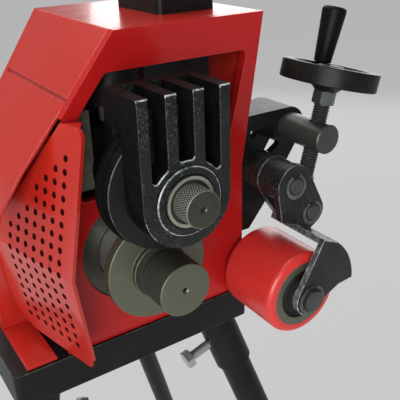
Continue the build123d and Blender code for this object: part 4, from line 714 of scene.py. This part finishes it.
shaft = {
    "end": -72.2, "cone": 1.0, "knobR": 14.3, "neck": -55.0, "r": 16.95, "rear": 37.0, "turns": 264, "step": 0.4,
    "knurlEnds": (1.0, 0.6), "teeth": 44, "row": 2.0, "deep": 0.5, "lean": 0.5, "lip": (0.9, 0.75), "lipRub": 0.4,
}
h = shaft
profile = rounded([
    *drilled(h["end"], h["cone"]), (h["end"], h["knobR"], 0.8), (h["neck"], h["knobR"], 0.3),
    (h["neck"], h["r"], 0.6), (h["rear"], h["r"], 0.5), (h["rear"], 0, 0)])
profile = split(profile, h["step"], h["end"], h["neck"])


def neckShade(s, r):  # painted shade on everything behind the knurled end
    return s > h["neck"] - touch


def rubbedLip(s, r):  # the knurled end's front edge
    return h["lipRub"] * ((r > h["knobR"] - h["lip"][1]) & (s < h["end"] + h["lip"][0]))


knob = knurl(h["end"] + h["knurlEnds"][0], h["neck"] - h["knurlEnds"][1], h["teeth"], h["row"], h["deep"], h["lean"])
shaftMesh = turned("upperShaft", profile, upperAxis, back, h["turns"], knob, neckShade, rubbedLip)
piece("upperShaft", shaftMesh, "upper_shaft")

bush = {
    "front": (-56.0, -26.5), "rear": (11.5, 38.0), "outer": 20.8, "bore": 17.0, "edge": 0.6, "shadeBand": 1.1, "fade": 0.2,
}


def bushRing(low, high):  # a tube with eased rims, its outer rim darkened as painted shade
    outer, bore, edge = bush["outer"], bush["bore"], bush["edge"]
    middle = (outer + bore) / 2
    unshaded = outer - bush["shadeBand"]
    shaded = unshaded + bush["fade"]

    def rimShade(s, r):
        return r > (unshaded + shaded) / 2

    profile = rounded([
        (low, middle, 0), (low, unshaded, 0), (low, shaded, 0), (low, outer, edge), (high, outer, edge),
        (high, bore, edge), (low, bore, edge), (low, middle, 0)])
    return turned("bushRing", profile, upperAxis, back, grimeAndShade=rimShade)


piece("bushRings", joined("bushRings", [bushRing(*bush[end]) for end in ("front", "rear")]), "carriage_bushes")
print("rolls turned")


# Stabilizer: where its axes are, across and up from the spindle
stabilizer = {
    "pivot": (140.6, 41.8), "eye": (162.4, 9.6), "barrel": (180.0, 77.4), "roller": (133.0, -58.5), "screwY": 8.0,
}


def axisSpot(name, y=0.0):
    x, z = stabilizer[name]
    return spot(x, y, z)


eye = axisSpot("eye", stabilizer["screwY"])
up = axisSpot("barrel", stabilizer["screwY"]) - eye
up /= np.linalg.norm(up)

tyre = {"front": -36.0, "rear": 35.0, "r": 42.0, "coreR": 33.0, "edge": 6.0, "edgeSteps": 8, "turns": 160}
t = tyre
profile = rounded([
    (t["front"], t["coreR"], 0), (t["front"], t["r"], t["edge"]), (t["rear"], t["r"], t["edge"]),
    (t["rear"], t["coreR"], 0), (t["front"], t["coreR"], 0)], t["edgeSteps"])
piece("rollerTyre", turned("rollerTyre", profile, axisSpot("roller"), back, t["turns"]), "roller_tyre")

core = {"rim": 8.0, "recess": 5.0, "hubR": 17.0, "hub": (-40.7, 35.0), "pinR": 12.05, "paintedShade": (0.3, 0.4)}
hubFront, hubRear = core["hub"]
inner = t["coreR"] - core["rim"]
webFront = t["front"] + core["recess"]
webRear = t["rear"] - core["recess"]
profile = rounded([
    (hubFront, core["pinR"], 0), (hubFront, core["hubR"], 0.6), (webFront, core["hubR"], 0.8), (webFront, inner, 1.2),
    (t["front"], inner, 0.6), (t["front"], t["coreR"], 0.3), (t["rear"], t["coreR"], 0.3), (t["rear"], inner, 0.6),
    (webRear, inner, 1.2), (webRear, core["hubR"], 0.8), (hubRear, core["hubR"], 0.6), (hubRear, core["pinR"], 0),
    (hubFront, core["pinR"], 0)])


def recessShade(s, r):  # painted shade in the recess round the hub
    return (r < inner - core["paintedShade"][1]) & (s > core["hub"][0] + core["paintedShade"][0])


piece("rollerCore", turned("rollerCore", profile, axisSpot("roller"), back, grimeAndShade=recessShade), "roller_core")

pins = {
    "pivot": {"low": -14.0, "high": 92.0, "r": 9.0, "step": 1.3, "clips": (-12.9,)},
    "eye": {"low": -14.0, "high": 30.0, "r": 9.0, "step": 1.3, "clips": (-12.9, 27.3)},
    "roller": {"low": -53.0, "high": 39.4, "r": 12.0, "step": 4.3, "clips": (-48.9, 35.3)},
}
pinEnd = {"smaller": 1.7, "paintedShade": 0.5, "turns": 96}
clip = {"thick": 1.6, "ring": 3.6, "heavy": 0.25, "open": 50.0, "lug": 0.55, "lugWide": 0.10, "points": 49}


def pin(name):  # a pin whose front end is turned down for its circlip, with painted shade at the step
    low, high, r = (pins[name][key] for key in ("low", "high", "r"))
    shoulder = low + pins[name]["step"]
    end = r - pinEnd["smaller"]

    def stepShade(s, radius):
        return (radius > end - touch) & (s > shoulder - touch) & (s < shoulder + pinEnd["paintedShade"])

    profile = rounded([
        (low, 0, 0), (low, end, 0.6), (shoulder, end, 0), (shoulder, r, 0.2), (high, r, 1.0), (high, 0, 0)])
    return turned(name + "Bar", profile, axisSpot(name), back, pinEnd["turns"], grimeAndShade=stepShade)


def circlips(name):
    # spring rings open at the top: a flat section carried round from angle to angle, its width largest at the
    # bottom and raised to a lug by a bell curve of the angle from each end
    gap = clip["open"] / 2
    a = np.linspace(math.radians(90 + gap), math.radians(450 - gap), clip["points"])[:, None]
    ends = [np.exp(-((a - a[i]) / clip["lugWide"]) ** 2) for i in (0, -1)]
    wide = clip["ring"] * (1 - clip["heavy"] + clip["heavy"] * np.sin(a - math.pi)) * (1 + clip["lug"] * sum(ends))
    section = np.array([(0, 0), (0, 1), (1, 1), (1, 0)], float)
    radius = (pins[name]["r"] + section[None, :, 1] * wide) * mm
    caps = [[0, 1, 2, 3], [radius.size - 1 - n for n in range(4)]]
    rings = []
    for y in pins[name]["clips"]:
        depth = section[None, :, 0] * clip["thick"] * mm + 0 * a
        points = axisSpot(name, y) + np.stack([radius * np.cos(a), depth, radius * np.sin(a)], -1)
        rings.append(closed(gridMesh("circlip", points, caps)))
    return rings


pivotClips = circlips("pivot")
for mesh in pivotClips:
    mesh.polygons.foreach_set("material_index", np.ones(len(mesh.polygons), int))
piece("pivotPin", joined("pivotPin", [pin("pivot"), *pivotClips]), "pivot_pin", "springSteel")
piece("eyePin", pin("eye"), "eye_pin")
piece("rollerPin", pin("roller"), "roller_pin")
piece("circlipRings", joined("circlipRings", circlips("eye") + circlips("roller")), "circlips")

screw = {
    "r": 8.0, "deep": 1.4, "pitch": 2.5, "thread": (30.3, 100.0), "fade": 1.5, "step": 0.34, "turns": 48,
    "tip": 18.3, "tipR": 5.0, "spigotR": 6.0, "top": 135.5,
}
nut = {"low": 100.0, "high": 112.0, "flats": 19.0, "cone": 1.03, "slope": 0.6, "gap": 0.01, "turns": 72, "sharp": 25.0}


def threadedRod(k):
    # helix: radius falls by a triangle wave of (height / pitch - turn), which fades out at both ends of the thread
    low, high = k["thread"]

    def relief(s, a):
        wave = np.abs(((s / (k["pitch"] * mm) - a / (2 * math.pi)) % 1.0) * 2 - 1)
        rise = np.clip((s - low * mm) / (k["fade"] * mm), 0, 1)
        fall = np.clip((high * mm - s) / (k["fade"] * mm), 0, 1)
        return -k["deep"] * mm * wave * rise * fall

    rod = rounded([
        (k["tip"], 0, 0), (k["tip"], k["tipR"], 0.4), (low, k["tipR"], 0), (low, k["r"], 0), (high, k["r"], 0),
        (high, k["spigotR"], 0), (k["top"], k["spigotR"], 0.6), (k["top"], 0, 0)])
    return turned("screwRod", split(rod, k["step"], low, high), eye, up, k["turns"], relief)


def hexNut(k):
    # six-sided prism: half the flats over the cosine of the angle from a flat's middle, with the rim cut back
    # and down where that is further out than a cone allows
    a = np.linspace(0, 2 * math.pi, k["turns"], endpoint=False)
    sector = (a + math.pi / 6) % (math.pi / 3) - math.pi / 6
    side = k["flats"] / 2 / np.cos(sector)
    rim = np.minimum(side, k["flats"] / 2 * k["cone"])
    drop = (side - rim) * k["slope"] + k["gap"]
    low = k["low"] + 0 * a
    high = k["high"] + 0 * a
    radii = np.stack([0 * a, rim, side, side, rim, 0 * a])[..., None]
    heights = np.stack([low, low, low + drop, high - drop, high, high])[..., None]
    across = np.cross(up, back)
    spoke = np.cos(a)[:, None] * across + np.sin(a)[:, None] * np.cross(up, across)
    return closed(gridMesh("hexNut", eye + (heights * up + radii * spoke) * mm), k["sharp"])


piece("adjustingScrew", joined("adjustingScrew", [threadedRod(screw), hexNut(nut)]), "stabilizer_screw")

wheel = {
    "low": 118.5, "top": 135.5, "r": 45.0, "edge": 1.2, "rim": 9.0, "recess": 4.0, "bossR": 17.0, "footR": 10.5,
    "foot": 112.0, "steps": 6, "turns": 160,
}
k = wheel
boreR = screw["spigotR"]
rimR = k["r"] - k["rim"]
floorZ = k["top"] - k["recess"]
profile = rounded([
    (k["foot"], boreR, 0), (k["foot"], k["footR"], 0.6), (k["low"], k["bossR"], 1.5), (k["low"], k["r"], k["edge"]),
    (k["top"], k["r"], k["edge"]), (k["top"], rimR, 1.5), (floorZ, rimR - k["recess"], 1.5), (floorZ, k["bossR"], 1.5),
    (k["top"], k["footR"], 1.0), (k["top"], boreR, 0), (k["foot"], boreR, 0)], k["steps"])
disc = turned("wheelDisc", profile, eye, up, k["turns"])

grip = {
    "at": 33.0, "turn": 60.0, "r": 8.3, "topR": 12.0, "long": 52.0, "edge": 1.2, "topEdge": 3.5, "gap": 0.3,
    "pinR": 3.5, "fit": 0.05, "steps": 6, "turns": 64, "pinTurns": 32,
}
g = grip
turn = math.radians(g["turn"])
gripFoot = eye + (np.cross(back, up) * math.cos(turn) + np.array(back) * math.sin(turn)) * g["at"] * mm
pinTop = k["top"] + g["long"] - g["topR"]
profile = rounded([(floorZ, 0, 0), (floorZ, g["pinR"], 0), (pinTop, g["pinR"], 0.4), (pinTop, 0, 0)])
gripPin = turned("gripPin", profile, gripFoot, up, g["pinTurns"])
piece("handWheel", joined("handWheel", [disc, gripPin]), "handwheel")

start = k["top"] + g["gap"]
end = start + g["long"]
holeR = g["pinR"] + g["fit"]
outside = rounded([
    (start, holeR, 0), (start, g["r"], g["edge"]), (end, g["topR"], g["topEdge"]), (end, 0, 0)], g["steps"])
inside = [(end - g["topR"], 0), (end - g["topR"], holeR), (start, holeR)]
gripMesh = turned("wheelGrip", np.concatenate([outside, inside]), gripFoot, up, g["turns"])
piece("wheelGrip", gripMesh, "handwheel_grip")
print("stabilizer turned")


# Stage: floor, light and camera
floorLook = {
    "half": 30.0, "pale": (0.52, 0.52, 0.525), "paler": (0.56, 0.555, 0.555), "cloud": {"size": 1.5, "detail": 3.0},
    "seen": (0.13, 0.13, 0.131), "glow": (0.43, 0.426, 0.43), "mirrored": 0.5,
}


def paleFloor(w):  # pale paper, kept pale for the camera where the lamps fall off
    mirrored = w.node("LightPath", output="Is Glossy Ray") * floorLook["mirrored"]
    seen = w.maths("MAXIMUM", w.node("LightPath", output="Is Camera Ray"), mirrored)
    paper = w.tint(w.noise(**floorLook["cloud"]), floorLook["pale"], floorLook["paler"])
    return {
        "Base Color": w.tint(seen, paper, floorLook["seen"]),
        "Emission Color": w.tint(seen, (0, 0, 0), floorLook["glow"]),
    }


floorMesh = bpy.data.meshes.new("floor")
corners = [(x * floorLook["half"], y * floorLook["half"], 0) for x, y in ((-1, -1), (1, -1), (1, 1), (-1, 1))]
floorMesh.from_pydata(corners, [], [(0, 1, 2, 3)])
floorFixed = {"Roughness": 0.9, "Specular IOR Level": 0.1, "Emission Strength": 1.0}
floorMesh.materials.append(material("paleFloor", paleFloor, floorFixed))
floor = bpy.data.objects.new("floor", floorMesh)
bpy.context.scene.collection.objects.link(floor)

studio = {"colour": (0.97, 0.98, 1.0), "light": 0.20, "seen": 0.30}
world = bpy.data.worlds.new("studio")
bpy.context.scene.world = world
world.use_nodes = True
sky = world.node_tree.nodes["Background"].inputs
sky["Color"].default_value = (*studio["colour"], 1)
air = Wire(world.node_tree)
air.feed(sky["Strength"], air.node("LightPath", output="Is Camera Ray") * studio["seen"] + studio["light"])

lamps = {
    "overhead": {"place": (-0.5, 0.7, 2.9), "aim": (0, 0.0, 0.85), "size": 3.0, "power": 76.0},
    "front": {"place": (-1.8, -2.4, 1.35), "aim": (0, -0.2, 0.85), "size": 2.0, "power": 84.0},
    "behind": {"place": (2.3, 1.9, 1.9), "aim": (0, -0.1, 0.85), "size": 3.0, "power": 70.0},
}
for name, lamp in lamps.items():
    light = bpy.data.lights.new(name, "AREA")
    light.size = lamp["size"]
    light.energy = lamp["power"]
    holder = bpy.data.objects.new(name, light)
    holder.location = lamp["place"]
    holder.rotation_mode = "QUATERNION"
    holder.rotation_quaternion = (Vector(lamp["aim"]) - Vector(lamp["place"])).to_track_quat("-Z", "Y")
    holder.visible_camera = False
    bpy.context.scene.collection.objects.link(holder)

shot = {
    "place": (-209.71, -392.35, 267.23), "azimuth": 32.841, "elevation": 24.866, "roll": 1.786,
    "lens": 54.92, "sensor": 36.0, "nearest": 0.01,
}
az, el, roll = (math.radians(shot[name]) for name in ("azimuth", "elevation", "roll"))
ahead = Vector((math.sin(az) * math.cos(el), math.cos(az) * math.cos(el), -math.sin(el)))
right = Vector((math.cos(az), -math.sin(az), 0))
down = ahead.cross(right)
imageRight = right * math.cos(roll) + down * math.sin(roll)
imageUp = right * math.sin(roll) - down * math.cos(roll)
camera = bpy.data.objects.new("camera", bpy.data.cameras.new("camera"))
camera.data.lens = shot["lens"]
camera.data.sensor_width = shot["sensor"]
camera.data.clip_start = shot["nearest"]
turnTo = Matrix((imageRight, imageUp, -ahead)).transposed().to_4x4()
camera.matrix_world = Matrix.Translation(Vector(spot(*shot["place"]))) @ turnTo
bpy.context.scene.collection.objects.link(camera)
bpy.context.scene.camera = camera
bpy.context.scene.view_settings.view_transform = "Standard"
print("stage set")
